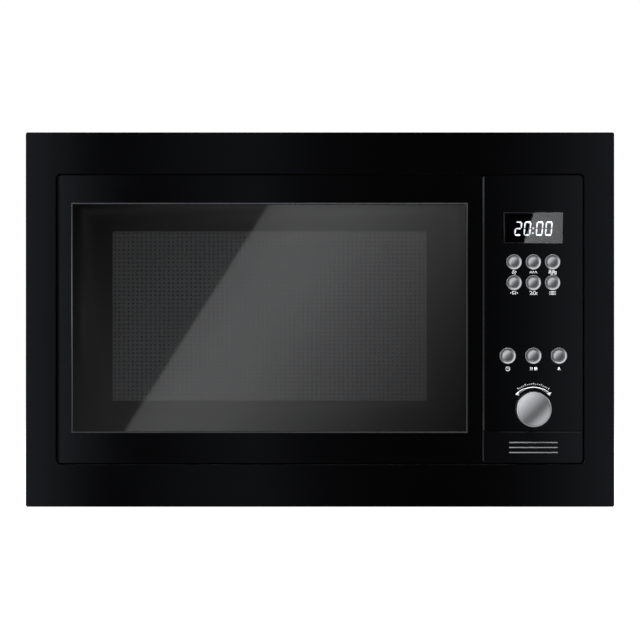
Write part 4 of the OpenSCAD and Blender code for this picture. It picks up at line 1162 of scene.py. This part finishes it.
def scrim(name, stops, receivers, low, high, distance, along=(1, 0), sheer=True, tint=PEARL):
    """A glowing sheet in front of the oven, sized and shaded in the front's own X and Z.
    Its glow follows stops of (place, brightness). Place is measured on the front, in metres
    from the camera's axis, along a direction in X and Z. Only a sheer one lets rays through."""
    reach = 1 + distance / DISTANCE
    scrim_y = face_y - distance
    bm = bmesh.new()
    upright_grid(bm, Vector((low[0] * reach, scrim_y, eye.z + (low[1] - eye.z) * reach)),
                 Vector((high[0] * reach, scrim_y, eye.z + (high[1] - eye.z) * reach)))
    bmesh.ops.reverse_faces(bm, faces=bm.faces)
    mesh = bpy.data.meshes.new(name)
    bm.to_mesh(mesh)
    bm.free()
    glow = bpy.data.materials.new(name)
    glow.use_nodes = True
    glow.node_tree.nodes.remove(glow.node_tree.nodes["Principled BSDF"])
    first, last = stops[0][0], stops[-1][0]
    measured = add(glow, "ShaderNodeVectorMath", operation="DOT_PRODUCT")
    wire(glow, coordinates(glow, centre=(0, 0, eye.z)), measured.inputs[0])
    measured.inputs[1].default_value = (along[0] / reach, 0, along[1] / reach)
    placed = add(glow, "ShaderNodeMapRange")
    placed.inputs["From Min"].default_value = first
    placed.inputs["From Max"].default_value = last
    wire(glow, measured.outputs["Value"], placed.inputs["Value"])
    ramp = add(glow, "ShaderNodeValToRGB")
    while len(ramp.color_ramp.elements) < len(stops):
        ramp.color_ramp.elements.new(1.0)
    brightest = max(brightness for place, brightness in stops)
    for element, (place, brightness) in zip(ramp.color_ramp.elements, stops):
        element.position = (place - first) / (last - first)
        element.color = [brightness / brightest * part for part in tint] + [1]
    wire(glow, placed.outputs["Result"], ramp.inputs["Fac"])
    emission = add(glow, "ShaderNodeEmission")
    emission.inputs["Strength"].default_value = brightest
    wire(glow, ramp.outputs["Color"], emission.inputs["Color"])
    both = add(glow, "ShaderNodeAddShader")
    wire(glow, emission.outputs["Emission"], both.inputs[0])
    if sheer:
        wire(glow, add(glow, "ShaderNodeBsdfTransparent").outputs["BSDF"], both.inputs[1])
    wire(glow, both.outputs["Shader"], glow.node_tree.nodes["Material Output"].inputs["Surface"])
    mesh.materials.append(glow)
    sheet = bpy.data.objects.new(name, mesh)
    scene.collection.objects.link(sheet)
    sheet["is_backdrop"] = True
    sheet.visible_camera = False
    sheet.visible_diffuse = False
    sheet.visible_shadow = False
    sheet.visible_transmission = False
    sheet.light_linking.receiver_collection = group_of(f"{name}_receivers", receivers)
    return sheet


# %% Scrims for the trim and the front
front_size = ((-0.34, -0.1), (0.34, 0.5))
trim_stops = [(-0.33, 0.45), (-0.293, 0.33), (-0.262, 0.2), (-0.232, 0.06), (-0.2, 0.035),
              (-0.16, 0.08), (-0.12, 0.12), (-0.06, 0.14), (0.0, 0.05), (0.06, 0.028),
              (0.12, 0.025), (0.18, 0.03), (0.243, 0.12), (0.283, 0.25), (0.33, 0.34)]
front_stops = [(-0.33, 0.45), (-0.26, 0.36), (-0.242, 0.21), (-0.2, 0.04), (-0.16, 0.045),
               (-0.12, 0.095), (-0.06, 0.145), (-0.02, 0.06), (0.06, 0.026), (0.13, 0.024),
               (0.175, 0.038), (0.212, 0.095), (0.258, 0.26), (0.33, 0.4)]
scrim("trim_scrim", trim_stops, [trim], *front_size, 1.0, tint=EVENING_BLUE)
scrim("front_scrim", front_stops, [door_frame, control_panel, release_button], *front_size, 1.04,
      tint=EVENING_BLUE)

# %% [markdown]
# The glass mirrors a bright sheet with one straight, slanting edge. From the edge the light falls
# off slowly on the bright side, and on the dark side a faint glow rises towards the edge.

# %% Scrims for the glass and the lens
EDGE_TOP = Vector((-0.0503, 0.3068))
EDGE_FOOT = Vector((-0.1949, 0.0783))


def beside(top, foot):
    """The direction across a slanting edge, and the edge's place along that direction."""
    slant = (top - foot).normalized()
    across = Vector((slant.y, -slant.x))
    return across, across.dot(top - Vector((0, eye.z)))


across_edge, edge_place = beside(EDGE_TOP, EDGE_FOOT)
glass_steps = [(-0.24, 0.02), (-0.165, 0.08), (-0.128, 0.15), (-0.094, 0.25), (-0.055, 0.36),
               (-0.002, 0.52), (0.0, 2.1), (0.03, 2.4), (0.075, 2.3), (0.11, 1.8),
               (0.143, 1.35), (0.177, 0.98), (0.211, 0.62), (0.245, 0.4), (0.28, 0.22)]
scrim("glass_scrim", [(edge_place + place, glow) for place, glow in glass_steps], [window],
      (-0.27, 0.05), (0.17, 0.33), 1.08, across_edge)

LENS_TOP = Vector((0.2165, 0.298))
LENS_FOOT = Vector((0.2058, 0.2667))
across_lens, lens_place = beside(LENS_TOP, LENS_FOOT)
lens_steps = [(-0.05, 0.0), (-0.0005, 0.0), (0.0, 4.4), (0.06, 3.4)]
scrim("lens_scrim", [(lens_place + place, glow) for place, glow in lens_steps], [lens],
      (0.17, 0.25), (0.26, 0.32), 1.12, across_lens)

# %% [markdown]
# The silver parts are domed, so they mirror a wide piece of the room. Their scrim is large and
# shaded from bright at the upper left, through a dark valley, to a weaker glow at the lower
# right. That one valley gives each dome its shape.

# %% Scrims for the silver parts
towards_light = (-math.sqrt(0.5), math.sqrt(0.5))


def dome_stops(middle, distance, steps):
    """Stops for a dome there, from steps of (direction's slope towards the light, glow)."""
    start = towards_light[0] * middle.x + towards_light[1] * (middle.z - eye.z)
    per_slope = distance / (1 + distance / DISTANCE)
    return [(start + slope * per_slope, glow) for slope, glow in steps]


knob_steps = [(-2.0, 0.12), (-0.9, 0.2), (-0.6, 0.66), (-0.41, 0.6), (-0.25, 0.2), (-0.12, 0.11),
              (0.0, 0.24), (0.2, 0.5), (0.33, 0.66), (0.5, 0.94), (0.9, 1.45), (2.0, 1.3)]
button_steps = [(-2.0, 0.12), (-0.6, 0.13), (-0.2, 0.2), (0.0, 0.3), (0.3, 0.5), (0.8, 0.85),
                (2.0, 0.8)]
wide = ((-2.4, -2.4), (2.8, 2.8))
scrim("knob_scrim", dome_stops(knob_middle, 1.5, knob_steps), [knob], *wide, 1.5, towards_light)
middle_button = button_middle["combi"]
scrim("button_scrim", dome_stops(middle_button, 1.55, button_steps), silver_parts[:-1], *wide,
      1.55, towards_light, sheer=False)
bezel_steps = [(-1.3, 0.42), (-0.5, 0.32), (-0.15, 0.14), (0.15, 0.14), (0.6, 0.35), (1.3, 2.6)]
scrim("bezel_scrim", bezel_steps, [window_bezel, lens_bezel], (-1.9, -1.4), (1.9, 1.8), 1.45, (0, 1))

# %% [markdown]
# Last come two small scrims for the slopes on the mouldings' edges. A slope of thirteen degrees
# mirrors what stands twenty-six degrees to the side. The one at the left is brighter at its top
# and its foot than half-way up.

# %% Scrims for the sloping edges
slope_angle = 2 * math.atan2(SIDE_DEPTH, SIDE_SLOPE)
slope_distance = 1.3
slope_reach = slope_distance / (1 + slope_distance / DISTANCE)
slope_x = panel_low.x - slope_reach * math.tan(slope_angle)
slope_steps = [(-0.3, 1.1), (-0.112, 1.1), (-0.108, 0.36), (0.113, 0.36), (0.117, 1.1), (0.3, 1.1)]
scrim("side_slope_scrim", slope_steps, [control_panel, release_button],
      (slope_x - 0.2, -0.1), (slope_x + 0.2, 0.5), slope_distance, (0, 1))
top_angle = 2 * math.atan2(TOP_DEPTH, TOP_SLOPE)
top_z = release_high.z + slope_reach * math.tan(top_angle)
scrim("top_slope_scrim", [(-1, 0.5), (2, 0.5)], [release_button],
      (0.05, top_z - 0.15), (0.35, top_z + 0.3), slope_distance + 0.02, (0, 1))

# %% Sizes
made_low, made_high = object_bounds()
growth = (made_high - made_low) - (cad_high - cad_low)
print("grown in mm:", [round(side * 1000, 2) for side in growth])
